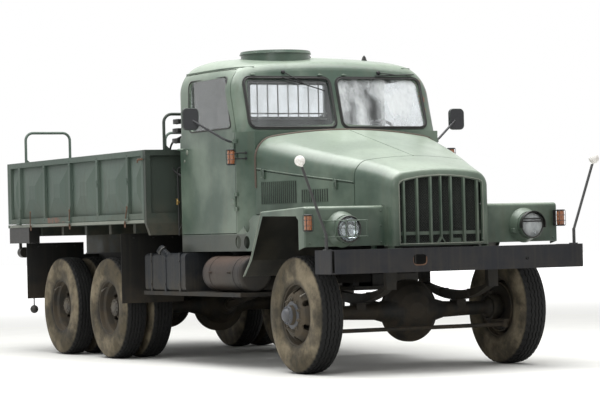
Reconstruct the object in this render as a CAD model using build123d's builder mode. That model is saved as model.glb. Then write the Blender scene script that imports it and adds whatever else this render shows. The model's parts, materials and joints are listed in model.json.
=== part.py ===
"""Three-axle military cargo truck with a steel drop-side bed, bonneted cab and twin rear wheels.

Millimetres. +X forward, +Y to the vehicle's left, +Z up. The origin is on the ground,
on the centreline, halfway between the bumper's face and the tailgate's hinges.
"""
import math
import os

from build123d import *

os.makedirs("parts", exist_ok=True)

# Clearances and sheets shared by many pieces
FIT = 0.3
GAP = 6.0

# Wheels and tyres
TYRE_R = 485.0
TYRE_W = 235.0
TYRE_SIDES = 36
TYRE_BULGE_R = 395.0
TYRE_CROWN_IN = 24.0
RIM_R = 254.0
RIM_W = 176.0
RIM_EDGE = 8.0
RIM_FLANGE = 20.0
RIM_WELL = 22.0
DISC_T = 10.0
DISC_ROOT = 34.0
DISC_BEND = 0.8
DISC_BEND_R = 188.0
DISC_FLAT_R = 158.0
HUB_R = 104.0
HUB_CAP_R = 84.0
HUB_CAP = 44.0
HAND_HOLES = 6
HAND_HOLE_R = 26.0
HAND_HOLE_PCR = 196.0
DRUM_R = 210.0
DRUM_T = 12.0
FRONT_X = 2700.0
REAR_X = (-1100.0, -2350.0)
FRONT_TRACK_Y = 962.5
FRONT_DISH = 122.0
FRONT_HUB_IN = 930.0
FRONT_DRUM_Y = 880.0
FRONT_SPINDLE_END = 1070.0
REAR_OUTER_Y = 1058.5
TWIN_PITCH = 270.0
REAR_INNER_Y = REAR_OUTER_Y - TWIN_PITCH
REAR_DRUM_Y = 700.0
REAR_SPINDLE_END = 1040.0

# Axles, knuckles and steering
AXLE_TUBE_R = 68.0
BANJO_R = 261.0
PINION_X = -270.0
COVER_X = 150.0
SHAFT_R = 38.0
KINGPIN_Y = 800.0
BALL_R = 92.0
BALL_NECK_R = 56.0
BALL_STEPS = 9
BALL_GAP = 6.0
KNUCKLE_WALL = 22.0
KINGPIN_R = 16.0
KINGPIN_BOSS_R = 34.0
SPINDLE_R = 45.0
STEER_ARM_X = 230.0
TIE_ROD_Z = 345.0
TIE_ROD_R = 17.0
TIE_EYE = 24.0

# Springs
SPRING_Y = 480.0
SPRING_W = 75.0
SPRING_SEAT = 78.0
LEAF_TIP = 18.0
FRONT_SPRING_HALF = 560.0
FRONT_SPRING_EYE_Z = 690.0

# Frame and tow coupling
RAIL_Y = 430.0
RAIL_FLANGE = 70.0
RAIL_WEB = 9.0
RAIL_Z0 = 820.0
RAIL_Z1 = 1005.0
RAIL_X0 = -3470.0
RAIL_X1 = 3480.0
CROSS_X = (-3300.0, -1725.0, -500.0, 900.0, 3380.0)
BRACKET_H = 110.0
CAB_PADS_X = (360.0, 1630.0)
MOUNT_BAR = 36.0
TOW_Z = 900.0
TOW_JAW_R = 60.0
TOW_GAP = 60.0
TOW_PIN_R = 20.0

# Bumper and marker poles
NOSE_X = 3600.0
BUMPER_HALF = 1178.0
BUMPER_Z0 = 823.0
BUMPER_Z1 = 1013.0
BUMPER_SHEET = 8.0
BUMPER_CORNER = 30.0
BUMPER_DEPTH = 90.0
BUMPER_RETURN = 300.0
BUMPER_SLOT = (130.0, 90.0)
BUMPER_SLOT_Y = -387.0
BUMPER_HOLE = (616.0, 906.0)
BUMPER_HOLE_R = 15.0
POLE_X = 3469.0
POLE_FOOT_Y = 1160.0
POLE_BEND_Z = 1140.0
POLE_TIP_Y = 1377.5
POLE_TIP_Z = 1720.0
POLE_R = 11.0
POLE_BALL_R = 42.5

# Tanks and shelves
SHELF_Z = 650.0
TANK_Y0 = 640.0
TANK_Y1 = 1120.0
FUEL_X0 = -270.0
FUEL_X1 = 640.0
FUEL_Z1 = 1000.0
FUEL_STRAPS_X = (-120.0, 200.0, 520.0)
FILLER_X = 240.0
FILLER_R = 34.0
FILLER_CAP_R = 44.0
AIR_R = 155.0
AIR_Y = 960.0
AIR_X0 = 980.0
AIR_X1 = 1760.0
BATTERY_X0 = 300.0
BATTERY_X1 = 900.0

# Cab
CAB_HALF = 1000.0
CAB_X0 = 250.0
CAB_Z0 = 1010.0
COWL_X = 1690.0
COWL_HALF = 906.0
COWL_Z = 2040.0
SCREEN_FOOT_X = 1556.0
SCREEN_FOOT_Z = 2045.0
SCREEN_RAKE = 0.30
ROOF_Z = 2755.0
ROOF_PEAK_X = 640.0
ROOF_ARC_R = 3000.0
ROOF_SHOULDER_R = 280.0
ROOF_TURN = 5.0
CAB_CORNER_R = 130.0
CAB_REAR_CUT = 76.0
CAB_TOP_Z0 = 1900.0
CAB_WALL = 34.0
DASH_Z = (1750.0, 1950.0)
GLASS_T = 6.0
PANE_Y0 = 36.0
PANE_FOOT_Y1 = 872.0
PANE_TOP_Y1 = 846.0
PANE_FOOT_V = (66.0, 24.0)
PANE_TOP_V = (504.0, 484.0)
PANE_R = 60.0
REAR_WIN_Y = 121.0
REAR_WIN_HALF = 384.0
REAR_WIN_Z0 = 2240.0
REAR_WIN_Z1 = 2538.0
REAR_WIN_R = 14.0
BAR_COUNT = 7
BAR_PITCH = 106.0
BAR_R = 6.0
HATCH_X = 950.0
HATCH_Y = -325.0
HATCH_R = 300.0
HATCH_RING = 4.0
HATCH_RING_DROP = 110.0
HATCH_LAP = 22.0
HATCH_LID = 26.0
HATCH_PIN_OUT = 12.0
HATCH_PIN_RISE = 9.0
HATCH_PIN_R = 5.0
HATCH_LUGS_Y = ((-75.0, -65.0), (65.0, 75.0))
WHEEL_X = 1190.0
WHEEL_Y = 480.0
WHEEL_Z = 2030.0
WHEEL_LEAN = 30.0
WHEEL_RING = 225.0

# Doors and mirrors
DOOR_X0 = 300.0
DOOR_X1 = 1480.0
DOOR_Z0 = 1168.0
DOOR_TOP_Z = 2600.0
DOOR_WAIST_Z = 2050.0
DOOR_TOP_X = 1318.0
DOOR_R = 70.0
DOOR_HINGE_X = 1483.0
DOOR_HINGE_Y = 1010.3
DOOR_HINGE_R = 9.0
DOOR_HINGE_Z = (1440.0, 1900.0)
HANDLE_Z = 1936.0
WIN_X0 = 550.0
WIN_X1 = 1410.0
WIN_TOP_X = 1265.0
WIN_Z0 = 2090.0
WIN_Z1 = 2530.0
DOOR_GLASS_IN = 25.0
MIRROR_FOOT_X = 1440.0
MIRROR_FOOT_Z = 1950.0
MIRROR_X = 1300.0
MIRROR_Y = 1334.0
MIRROR_Z = 2164.0
MIRROR_W = 150.0
MIRROR_H = 190.0

# Bonnet and nose
HOOD_X0 = 1700.0
HOOD_X1 = 2850.0
HOOD_SHEET = 6.0
HINGE_GAP = 4.0
NOSE_SHELL_X1 = 3290.0
NOSE_HALF = 448.0
LOUVRE_Z0 = 1408.0
LOUVRE_PITCH = 25.0
LOUVRE_BLADE = 3.0
LOUVRE_W = 22.0
LOUVRE_TURN = 24.0
LATCHES_X = (1822.0, 2670.0)
SIDE_Z0 = 1365.0
SEAM_Z0 = 1710.0
SEAM_Z1 = 1556.0
NOSE_Z0 = 1030.0
NOSE_R = 42.0
GRILLE_HALF = 391.0
GRILLE_TOP_HALF = 362.0
GRILLE_Z0 = 1046.0
GRILLE_SIDE_Z = 1530.0
GRILLE_TOP_Z = 1558.0
GRILLE_CROWN_Z = 1599.0
GRILLE_RING_T = 12.0
GRILLE_RING_LAP = 12.0
GRILLE_BAR_D = 24.0
GRILLE_TIE_Z = 1130.0
GRILLE_BAR_W = 17.0
GRILLE_SPINE_W = 11.0
GRILLE_BARS_Y = (-346.0, -222.0, -95.0, 95.0, 219.0, 344.0)
GRILLE_FOOT_Z = 1092.0
GRILLE_FOOT_Y = 32.0

# Fenders and lamps
FENDER_X1 = 3163.0
FENDER_X0 = 2366.0
FENDER_Y0 = 446.0
FENDER_TAIL_Y0 = 535.0
FENDER_Y1 = 1195.0
FENDER_BEND_R = 30.0
FENDER_EDGE_R = 16.0
FENDER_LOW_Z = 700.0
FENDER_Z1 = 1365.0
FENDER_Z0 = 1340.0
FENDER_SHEET = 6.0
FENDER_NOSE_Z = 1040.0
FENDER_LIP = 75.0
FENDER_LIP_REAR = 40.0
FENDER_LIP_FRONT = 110.0
FENDER_KNEE = (2146.0, 941.0)
FENDER_TAIL = (2000.0, 800.0)
STAY_X = (2900.0, 2960.0)
KICK_HOLES = ((1702.0, 1227.0), (1522.0, 1089.0), (1694.0, 1085.0))
KICK_HOLE_R = 56.0
HEADLAMP = (3275.0, 862.0, 1177.0)
HEADLAMP_R = 108.0
LAMP_DEPTH = 150.0
TURN_LAMP = (3222.0, 1192.0, 1232.0)
LAMP_R = 34.0
LAMP_HALF_H = 64.0
GUARD_R = 47.0
GUARD_ROD_R = 2.6
CAGE_ROD_R = 5.0
PILLAR_LAMP = (1600.0, 1094.0, 1821.0)
PILLAR_ARMS_Z = (36.0, -13.0)
PILLAR_ARM_W = 9.0
CAGE_Z = (1246.0, 1117.0)
CAGE_Y = (702.0, 1022.0)
VISOR_T = 4.0
VISOR_OUT = 46.0

# Bed
BED_X0 = -3529.0
BED_X1 = 40.0
BED_HALF = 1250.0
FLOOR_Z0 = 1280.0
FLOOR_Z1 = 1312.0
WALL_Z0 = FLOOR_Z1 + GAP
WALL_Z1 = 1950.0
WALL_T = 42.0
WALL_SKIN = 10.0
POSTS_X = (-3230.0, -2520.0, -1820.0, -1100.0, -350.0)
POST_W = 50.0
WALL_RAIL_H = 52.0
SIDE_HINGE_Y = 1264.0
SIDE_HINGE_Z = 1318.0
STRAP_W = 60.0
HINGE_EYE_R = 11.0
HINGE_PIN_R = 5.0
HINGE_LUG = 14.0
TAIL_X1 = -3535.0
TAIL_HINGE_X = -3589.0
HEAD_X0 = 48.0
HEAD_X1 = 92.0
HOOP_Z = 2290.0
HOOP_Y0 = 552.0
HOOP_Y1 = 1047.0
HOOP_R = 14.0
HOOP_BEND = 80.0
HOOP_GUSSET = 55.0
HOOP_SINK = 20.0
BEARERS_X = (-3480.0, -2950.0, -2350.0, -1725.0, -1100.0, -500.0, 0.0)
BEARER_W = 60.0
BEARER_H = 90.0
BEARER_HALF = 1120.0
SILL_Z0 = 1168.0
SILL_SLANT = 40.0
TAIL_POSTS_Y = (-1225.0, -735.0, -245.0, 245.0, 735.0, 1225.0)
TAIL_STRAPS_Y = (-735.0, 735.0)
PRESSING = 28.0
PRESSING_W = 0.26
PRESSING_H = 0.26
TAIL_BOX_X = (-3590.0, -3010.0)
TAIL_BOX_Y1 = 1235.0
TAIL_BOX_Z0 = 1120.0
TAIL_LAMP = (-3590.0, 1100.0, 1025.0)
TAIL_LAMP_R = 55.0
TAIL_LAMP_DEPTH = 90.0
GUARD_Y = (600.0, 1230.0)
GUARD_T = 6.0
GUARD_ARM_Z0 = 900.0
# Columns: rear face, lowest, highest
GUARDS = ((-580.0, 537.0, FLOOR_Z0 - BEARER_H - FIT), (-3110.0, 550.0, TAIL_BOX_Z0 - FIT))


def save(piece, name):
    """Label a finished piece and write its STEP file."""
    piece.part.label = name
    export_step(piece.part, f"parts/{name}.step")


def turned(points, x, side=1, mode=Mode.ADD):
    """Revolve a closed outline about the axle at x; points are (distance out from the centreline, radius)."""
    plane = Plane(origin=(x, 0, TYRE_R), x_dir=(0, side, 0), z_dir=(side, 0, 0))
    with BuildSketch(plane) as section:
        with BuildLine():
            Polyline(*points, close=True)
        make_face()
    revolve(section.sketch, axis=Axis((x, 0, TYRE_R), (0, side, 0)), mode=mode)


def ball(x, out, radius, side, mode=Mode.ADD):
    """A ball on an axle's axis, revolved about that axis."""
    with BuildSketch(Plane(origin=(x, 0, TYRE_R), x_dir=(0, side, 0), z_dir=(side, 0, 0))) as section:
        with BuildLine():
            ThreePointArc((out - radius, 0), (out, radius), (out + radius, 0))
            Line((out + radius, 0), (out - radius, 0))
        make_face()
    revolve(section.sketch, axis=Axis((x, 0, TYRE_R), (0, side, 0)), mode=mode)


def block(low, high, mode=Mode.ADD):
    """A block between its lowest and highest corners."""
    with Locations(tuple((a + b) / 2 for a, b in zip(low, high))):
        Box(*[b - a for a, b in zip(low, high)], mode=mode)


def rod(start, end, radius, mode=Mode.ADD):
    """A round bar between two points."""
    along = Vector(*end) - Vector(*start)
    with BuildSketch(Plane(origin=start, z_dir=along)) as section:
        Circle(radius)
    extrude(section.sketch, amount=along.length, mode=mode)


def side_plate(points, y0, y1, mode=Mode.ADD):
    """A plate whose (x, z) outline is extruded from y0 to y1."""
    with BuildSketch(Plane.XZ.offset(-y0)) as section:
        with BuildLine():
            Polyline(*points, close=True)
        make_face()
    extrude(section.sketch, amount=y0 - y1, mode=mode)


def tyre(x, out, side):
    """A tyre of many flat-sided rings, bead to crown to bead, bored to sit between its rim's flanges."""
    bead = RIM_W / 2 - RIM_EDGE - FIT
    half = [(bead, RIM_R + RIM_FLANGE + 2), (TYRE_W / 2, TYRE_BULGE_R), (TYRE_W / 2 - TYRE_CROWN_IN, TYRE_R)]
    rings = []
    for offset, radius in [(-w, r) for w, r in half] + [(w, r) for w, r in reversed(half)]:
        with BuildSketch(Plane(origin=(x, side * out + offset, TYRE_R), x_dir=(1, 0, 0), z_dir=(0, 1, 0))) as ring:
            RegularPolygon(radius, TYRE_SIDES, major_radius=False, rotation=180 / TYRE_SIDES)
        rings.append(ring.sketch)
    with BuildSketch(Plane(origin=(x, side * out - bead - 1, TYRE_R), x_dir=(1, 0, 0), z_dir=(0, 1, 0))) as bore:
        RegularPolygon(RIM_R + FIT, TYRE_SIDES, major_radius=False, rotation=180 / TYRE_SIDES)
    with BuildPart() as made:
        loft(rings, ruled=True)
        extrude(bore.sketch, amount=2 * bead + 2, mode=Mode.SUBTRACT)
    return made.part


def rim_outline(out):
    """Drop-centre rim section about the tyre's centre plane."""
    w, t = RIM_W / 2, RIM_EDGE
    outer = [(w, RIM_R + RIM_FLANGE), (w - t, RIM_R + RIM_FLANGE), (w - t, RIM_R), (w - 34, RIM_R),
             (w - 52, RIM_R - RIM_WELL)]
    inner = [(w - 56, RIM_R - RIM_WELL - t), (w - 38, RIM_R - t), (w, RIM_R - t)]
    ring = outer + [(-a, r) for a, r in reversed(outer)] + [(-a, r) for a, r in reversed(inner)] + inner
    return [(out + a, r) for a, r in ring]


def disc_outline(root, face, step):
    """Dished wheel disc from the rim's well to its bolting face, on the side that step points to."""
    t = DISC_T * step
    bend = root + (face - root) * DISC_BEND
    edge = RIM_R - RIM_WELL - RIM_EDGE / 2
    return [(root, edge), (bend, DISC_BEND_R), (face, DISC_FLAT_R), (face, HUB_R - 1), (face - t, HUB_R - 1),
            (face - t, DISC_FLAT_R - t / 2 * step), (bend - t, DISC_BEND_R - t / 2 * step), (root - t, edge)]


def drum_outline(mouth, web):
    """Brake drum from its open mouth to the web on the hub."""
    t = DRUM_T
    return [(mouth, DRUM_R - t), (mouth, DRUM_R), (web - t, DRUM_R), (web, DRUM_R - 2 * t), (web, HUB_R - 1),
            (web - t, HUB_R - 1), (web - t, DRUM_R - 2.5 * t), (web - 2 * t, DRUM_R - t)]


def arched_face(x, half, crown, shoulder_r, turn, foot):
    """Upright sides, round shoulders and a crowned top that meets them tangent, turn degrees off level."""
    a = math.radians(turn)
    y = half - shoulder_r * (1 - math.sin(a))
    z = crown - y * math.tan(a / 2)
    centre_y, centre_z = half - shoulder_r, z - shoulder_r * math.cos(a)
    mid = math.pi / 4 - a / 2
    mid_y, mid_z = centre_y + shoulder_r * math.cos(mid), centre_z + shoulder_r * math.sin(mid)
    with BuildSketch(Plane.YZ.offset(x)) as section:
        with BuildLine():
            Polyline((-half, centre_z), (-half, foot), (half, foot), (half, centre_z))
            ThreePointArc((half, centre_z), (mid_y, mid_z), (y, z))
            ThreePointArc((y, z), (0, crown), (-y, z))
            ThreePointArc((-y, z), (-mid_y, mid_z), (-half, centre_z))
        make_face()
    return section.sketch


SIDES = (("left", 1), ("right", -1))

# Front wheels: one tyre and one disc wheel with its hub and drum on each side
front_face = FRONT_TRACK_Y + FRONT_DISH
front_hub = [(FRONT_HUB_IN, SPINDLE_R + FIT), (FRONT_HUB_IN, HUB_R), (front_face, HUB_R),
             (front_face, HUB_CAP_R), (front_face + HUB_CAP, HUB_CAP_R - 6), (front_face + HUB_CAP, 0),
             (FRONT_SPINDLE_END + 5, 0), (FRONT_SPINDLE_END + 5, SPINDLE_R + FIT)]
for side_name, side in SIDES:
    single = tyre(FRONT_X, FRONT_TRACK_Y, side)
    with BuildPart() as front_tyre:
        add(single)
    save(front_tyre, f"tyre_front_{side_name}")
    with BuildPart() as wheel:
        for outline in (rim_outline(FRONT_TRACK_Y), disc_outline(FRONT_TRACK_Y + DISC_ROOT, front_face, 1),
                        front_hub, drum_outline(FRONT_DRUM_Y, FRONT_TRACK_Y + DISC_ROOT)):
            turned(outline, FRONT_X, side)
        with Locations(Plane(origin=(FRONT_X, side * FRONT_TRACK_Y, TYRE_R), z_dir=(0, side, 0))):
            with PolarLocations(HAND_HOLE_PCR, HAND_HOLES):
                Cylinder(HAND_HOLE_R, 2 * FRONT_DISH + 2 * DISC_T, align=(Align.CENTER, Align.CENTER, Align.MIN),
                         mode=Mode.SUBTRACT)
    save(wheel, f"wheel_front_{side_name}")

# Rear wheels: twin tyres on two discs that meet at the hub's flange
twin_mid = REAR_OUTER_Y - TWIN_PITCH / 2
rear_hub = [(REAR_DRUM_Y, SPINDLE_R + FIT), (REAR_DRUM_Y, HUB_R), (REAR_OUTER_Y - 10, HUB_R),
            (REAR_OUTER_Y - 10, HUB_CAP_R), (REAR_OUTER_Y + 28, HUB_CAP_R - 6), (REAR_OUTER_Y + 28, 0),
            (REAR_SPINDLE_END + 5, 0), (REAR_SPINDLE_END + 5, SPINDLE_R + FIT)]
for axle_name, axle_x in zip(("mid", "rear"), REAR_X):
    for side_name, side in SIDES:
        pair = [tyre(axle_x, out, side) for out in (REAR_INNER_Y, REAR_OUTER_Y)]
        with BuildPart() as tyres:
            add(pair)
        save(tyres, f"tyres_{axle_name}_{side_name}")
        with BuildPart() as wheel:
            for outline in (rim_outline(REAR_OUTER_Y), rim_outline(REAR_INNER_Y), rear_hub,
                            disc_outline(REAR_OUTER_Y - DISC_ROOT, twin_mid, -1),
                            disc_outline(REAR_INNER_Y + DISC_ROOT, twin_mid, 1),
                            drum_outline(REAR_DRUM_Y, twin_mid - DISC_T - 2)):
                turned(outline, axle_x, side)
            with Locations(Plane(origin=(axle_x, side * twin_mid, TYRE_R), z_dir=(0, side, 0))):
                with PolarLocations(HAND_HOLE_PCR, HAND_HOLES):
                    Cylinder(HAND_HOLE_R, TWIN_PITCH, mode=Mode.SUBTRACT)
        save(wheel, f"wheels_{axle_name}_{side_name}")

# Driven axles: banjo housing, tapered tubes, differential carrier
def banjo(x, nose):
    """Banjo ring with its domed cover ahead and the pinion carrier behind; nose turns the pair about."""
    outline = [(PINION_X, 0), (PINION_X, 70), (-190, 95), (-118, 152), (-30, 190), (-30, BANJO_R - 12),
               (-22, BANJO_R), (22, BANJO_R), (30, BANJO_R - 12), (70, 216), (118, 152), (COVER_X, 70), (COVER_X, 0)]
    with BuildSketch(Plane(origin=(x, 0, TYRE_R), x_dir=(nose, 0, 0), z_dir=(0, -nose, 0))) as section:
        with BuildLine():
            Polyline(*outline, close=True)
        make_face()
    revolve(section.sketch, axis=Axis((x, 0, TYRE_R), (nose, 0, 0)))


with BuildPart() as front_axle:
    neck_angle = math.pi - math.asin(BALL_NECK_R / BALL_R)
    ball_ring = [(KINGPIN_Y + BALL_R * math.cos(neck_angle * (1 - step / BALL_STEPS)),
                  BALL_R * math.sin(neck_angle * (1 - step / BALL_STEPS))) for step in range(BALL_STEPS + 1)]
    half = [(120, 138), (230, 96), (330, AXLE_TUBE_R), (KINGPIN_Y - BALL_R - 40, BALL_NECK_R)] + ball_ring
    turned([(-out, radius) for out, radius in reversed(half)] + half, FRONT_X)
    banjo(FRONT_X, 1)
    for side in (1, -1):
        with Locations((FRONT_X, side * KINGPIN_Y, TYRE_R)):
            Cylinder(KINGPIN_R + FIT, 3 * BALL_R, mode=Mode.SUBTRACT)
        block((FRONT_X - 60, side * SPRING_Y - 45, TYRE_R + 20),
              (FRONT_X + 60, side * SPRING_Y + 45, TYRE_R + SPRING_SEAT))
save(front_axle, "front_axle")

with BuildPart() as rear_axles:
    for axle_x in REAR_X:
        half = [(120, 138), (230, 96), (330, AXLE_TUBE_R), (REAR_DRUM_Y - 30, AXLE_TUBE_R + 8),
                (REAR_DRUM_Y - 30, 140), (REAR_DRUM_Y - 6, 145), (REAR_DRUM_Y - 6, SPINDLE_R),
                (REAR_SPINDLE_END, SPINDLE_R), (REAR_SPINDLE_END, 0)]
        turned([(-out, radius) for out, radius in reversed(half)] + half, axle_x)
        banjo(axle_x, -1)
        for side in (1, -1):
            block((axle_x - 60, side * SPRING_Y - 45, TYRE_R + 20),
                  (axle_x + 60, side * SPRING_Y + 45, TYRE_R + SPRING_SEAT))
save(rear_axles, "rear_axles")

# Steering knuckles round the axle's balls, with the arms that the tie rod joins
shell_in = BALL_R + BALL_GAP
shell_out = shell_in + KNUCKLE_WALL
for side_name, side in SIDES:
    centre = (FRONT_X, side * KINGPIN_Y, TYRE_R)
    with BuildPart() as knuckle:
        ball(FRONT_X, KINGPIN_Y, shell_out, side)
        with Locations(centre):
            Cylinder(KINGPIN_BOSS_R, 2 * shell_out + 36)
        ball(FRONT_X, KINGPIN_Y, shell_in, side, Mode.SUBTRACT)
        block((FRONT_X - 200, min(side * (KINGPIN_Y - 30), side * (KINGPIN_Y - 300)), TYRE_R - shell_out),
              (FRONT_X + 200, max(side * (KINGPIN_Y - 30), side * (KINGPIN_Y - 300)), TYRE_R + shell_out),
              Mode.SUBTRACT)
        for end in (1, -1):
            rod((FRONT_X, side * KINGPIN_Y, TYRE_R + end * (shell_in + 10)),
                (FRONT_X, side * KINGPIN_Y, TYRE_R + end * BALL_R * 0.55), KINGPIN_R)
        turned([(KINGPIN_Y + shell_in + 4, 0), (KINGPIN_Y + shell_in + 4, 62), (FRONT_HUB_IN - 6, 62),
                (FRONT_HUB_IN - 6, SPINDLE_R), (FRONT_SPINDLE_END, SPINDLE_R), (FRONT_SPINDLE_END, 0)],
               FRONT_X, side)
        turned([(FRONT_DRUM_Y + 2, 75), (FRONT_DRUM_Y + 2, DRUM_R - DRUM_T - 8),
                (FRONT_DRUM_Y + 8, DRUM_R - DRUM_T - 8), (FRONT_DRUM_Y + 8, 75)], FRONT_X, side)
        side_plate([(FRONT_X + 40, TYRE_R - 100), (FRONT_X + 60, TYRE_R - 100),
                    (FRONT_X + STEER_ARM_X + 28, TIE_ROD_Z + TIE_EYE + 22),
                    (FRONT_X + STEER_ARM_X + 28, TIE_ROD_Z + TIE_EYE),
                    (FRONT_X + STEER_ARM_X - 28, TIE_ROD_Z + TIE_EYE), (FRONT_X + 30, TYRE_R - 130)],
                   side * KINGPIN_Y - 24, side * KINGPIN_Y + 24)
        rod((FRONT_X + STEER_ARM_X, side * KINGPIN_Y, TIE_ROD_Z + TIE_EYE + 4),
            (FRONT_X + STEER_ARM_X, side * KINGPIN_Y, TIE_ROD_Z - TIE_EYE + 4), 9)
    save(knuckle, f"knuckle_{side_name}")

with BuildPart() as tie_rod:
    rod((FRONT_X + STEER_ARM_X, -KINGPIN_Y, TIE_ROD_Z), (FRONT_X + STEER_ARM_X, KINGPIN_Y, TIE_ROD_Z), TIE_ROD_R)
    for side in (1, -1):
        with Locations((FRONT_X + STEER_ARM_X, side * KINGPIN_Y, TIE_ROD_Z)):
            Cylinder(26, 2 * TIE_EYE - 2 * FIT)
            Cylinder(9 + FIT, 3 * TIE_EYE, mode=Mode.SUBTRACT)
save(tie_rod, "tie_rod")

# Leaf springs: semi-elliptic at the front, inverted over the bogie's trunnion at the rear
def leaf_pack(x0, x1, z_end, z_mid, thick, y):
    """A bowed pack of leaves between two ends, thickest at its middle."""
    x_mid = (x0 + x1) / 2
    with BuildSketch(Plane.XZ.offset(-y - SPRING_W / 2)) as section:
        with BuildLine():
            ThreePointArc((x0, z_end), (x_mid, z_mid), (x1, z_end))
            Line((x1, z_end), (x1, z_end + LEAF_TIP))
            ThreePointArc((x1, z_end + LEAF_TIP), (x_mid, z_mid + thick), (x0, z_end + LEAF_TIP))
            Line((x0, z_end + LEAF_TIP), (x0, z_end))
        make_face()
    extrude(section.sketch, amount=SPRING_W)


seat_z = TYRE_R + SPRING_SEAT
bogie_x = sum(REAR_X) / 2
with BuildPart() as leaf_springs:
    for side in (1, -1):
        y = side * SPRING_Y
        leaf_pack(FRONT_X - FRONT_SPRING_HALF, FRONT_X + FRONT_SPRING_HALF, FRONT_SPRING_EYE_Z, seat_z, 78, y)
        for end in (1, -1):
            x_eye = FRONT_X + end * FRONT_SPRING_HALF
            block((x_eye - 25, y - 45, FRONT_SPRING_EYE_Z - 12), (x_eye + 25, y + 45, FRONT_SPRING_EYE_Z + 60))
            block((x_eye - 25, min(side * (RAIL_Y + FIT), side * (SPRING_Y + 45)), FRONT_SPRING_EYE_Z + 40),
                  (x_eye + 25, max(side * (RAIL_Y + FIT), side * (SPRING_Y + 45)), RAIL_Z0 + 90))
        leaf_pack(REAR_X[1] - 60, REAR_X[0] + 60, seat_z, seat_z + 90, 110, y)
        block((bogie_x - 80, y - 50, TYRE_R - 10), (bogie_x + 80, y + 50, seat_z + 95))
        block((bogie_x - 150, min(side * (RAIL_Y + FIT), side * (RAIL_Y + 70)), TYRE_R + 60),
              (bogie_x + 150, max(side * (RAIL_Y + FIT), side * (RAIL_Y + 70)), RAIL_Z1 - 40))
save(leaf_springs, "leaf_springs")

# Frame: two channel rails and their cross-members
with BuildPart() as frame_rails:
    for side in (1, -1):
        inner = side * (RAIL_Y - RAIL_FLANGE)
        outer = side * RAIL_Y
        block((RAIL_X0, min(inner, outer), RAIL_Z0), (RAIL_X1, max(inner, outer), RAIL_Z1))
        web = side * (RAIL_Y - RAIL_WEB)
        block((RAIL_X0 - 1, min(inner - side, web), RAIL_Z0 + RAIL_WEB),
              (RAIL_X1 + 1, max(inner - side, web), RAIL_Z1 - RAIL_WEB), Mode.SUBTRACT)
        bracket_z = (BUMPER_Z0 + BUMPER_Z1) / 2
        block((RAIL_X1 - 60, min(outer, web), bracket_z - BRACKET_H / 2),
              (NOSE_X - BUMPER_SHEET - FIT, max(outer, web), bracket_z + BRACKET_H / 2))
        for x in CAB_PADS_X:
            block((x - 40, min(inner, outer), RAIL_Z1 - 1), (x + 40, max(inner, outer), CAB_Z0 - FIT))
    for x in CROSS_X:
        block((x - 40, -RAIL_Y + RAIL_WEB, RAIL_Z0 + 30), (x + 40, RAIL_Y - RAIL_WEB, RAIL_Z1 - 30))
    tow_half = RAIL_Y - RAIL_WEB + 1
    block((RAIL_X0 - 40, -tow_half, RAIL_Z0 + 10), (RAIL_X0 + 10, tow_half, RAIL_Z1 - 10))
    block((RAIL_X0 - 120, -TOW_JAW_R, TOW_Z - TOW_JAW_R), (RAIL_X0 - 30, TOW_JAW_R, TOW_Z + TOW_JAW_R))
    block((RAIL_X0 - 125, -TOW_JAW_R - 1, TOW_Z - TOW_GAP / 2), (RAIL_X0 - 70, TOW_JAW_R + 1, TOW_Z + TOW_GAP / 2),
          Mode.SUBTRACT)
    with Locations((RAIL_X0 - 92, 0, TOW_Z)):
        Cylinder(TOW_PIN_R, 3 * TOW_JAW_R, mode=Mode.SUBTRACT)
save(frame_rails, "frame_rails")

# Bumper: a channel whose ends wrap back, with the tow hook's slot
with BuildPart() as bumper:
    with BuildSketch(Plane.XY.offset(BUMPER_Z0)):
        with BuildLine():
            Polyline((NOSE_X, -BUMPER_HALF + BUMPER_CORNER), (NOSE_X, BUMPER_HALF - BUMPER_CORNER),
                     (NOSE_X - BUMPER_CORNER, BUMPER_HALF), (NOSE_X - BUMPER_RETURN, BUMPER_HALF),
                     (NOSE_X - BUMPER_RETURN, -BUMPER_HALF), (NOSE_X - BUMPER_CORNER, -BUMPER_HALF), close=True)
        make_face()
    extrude(amount=BUMPER_Z1 - BUMPER_Z0)
    block((NOSE_X - BUMPER_RETURN - 1, -BUMPER_HALF + BUMPER_SHEET, BUMPER_Z0 + BUMPER_SHEET),
          (NOSE_X - BUMPER_SHEET, BUMPER_HALF - BUMPER_SHEET, BUMPER_Z1 - BUMPER_SHEET), Mode.SUBTRACT)
    block((NOSE_X - BUMPER_RETURN - 1, -BUMPER_HALF + BUMPER_DEPTH, BUMPER_Z0 - 1),
          (NOSE_X - BUMPER_DEPTH, BUMPER_HALF - BUMPER_DEPTH, BUMPER_Z1 + 1), Mode.SUBTRACT)
    slot_w, slot_h = BUMPER_SLOT
    bumper_mid = (BUMPER_Z0 + BUMPER_Z1) / 2
    with BuildSketch(Plane(origin=(NOSE_X + 1, BUMPER_SLOT_Y, bumper_mid), x_dir=(0, 1, 0), z_dir=(-1, 0, 0))):
        RectangleRounded(slot_w, slot_h, slot_h * 0.4)
    extrude(amount=BUMPER_SHEET + 2, mode=Mode.SUBTRACT)
    hole_y, hole_z = BUMPER_HOLE
    rod((NOSE_X + 1, hole_y, hole_z), (NOSE_X - BUMPER_SHEET - 1, hole_y, hole_z), BUMPER_HOLE_R, Mode.SUBTRACT)
save(bumper, "bumper")

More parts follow.
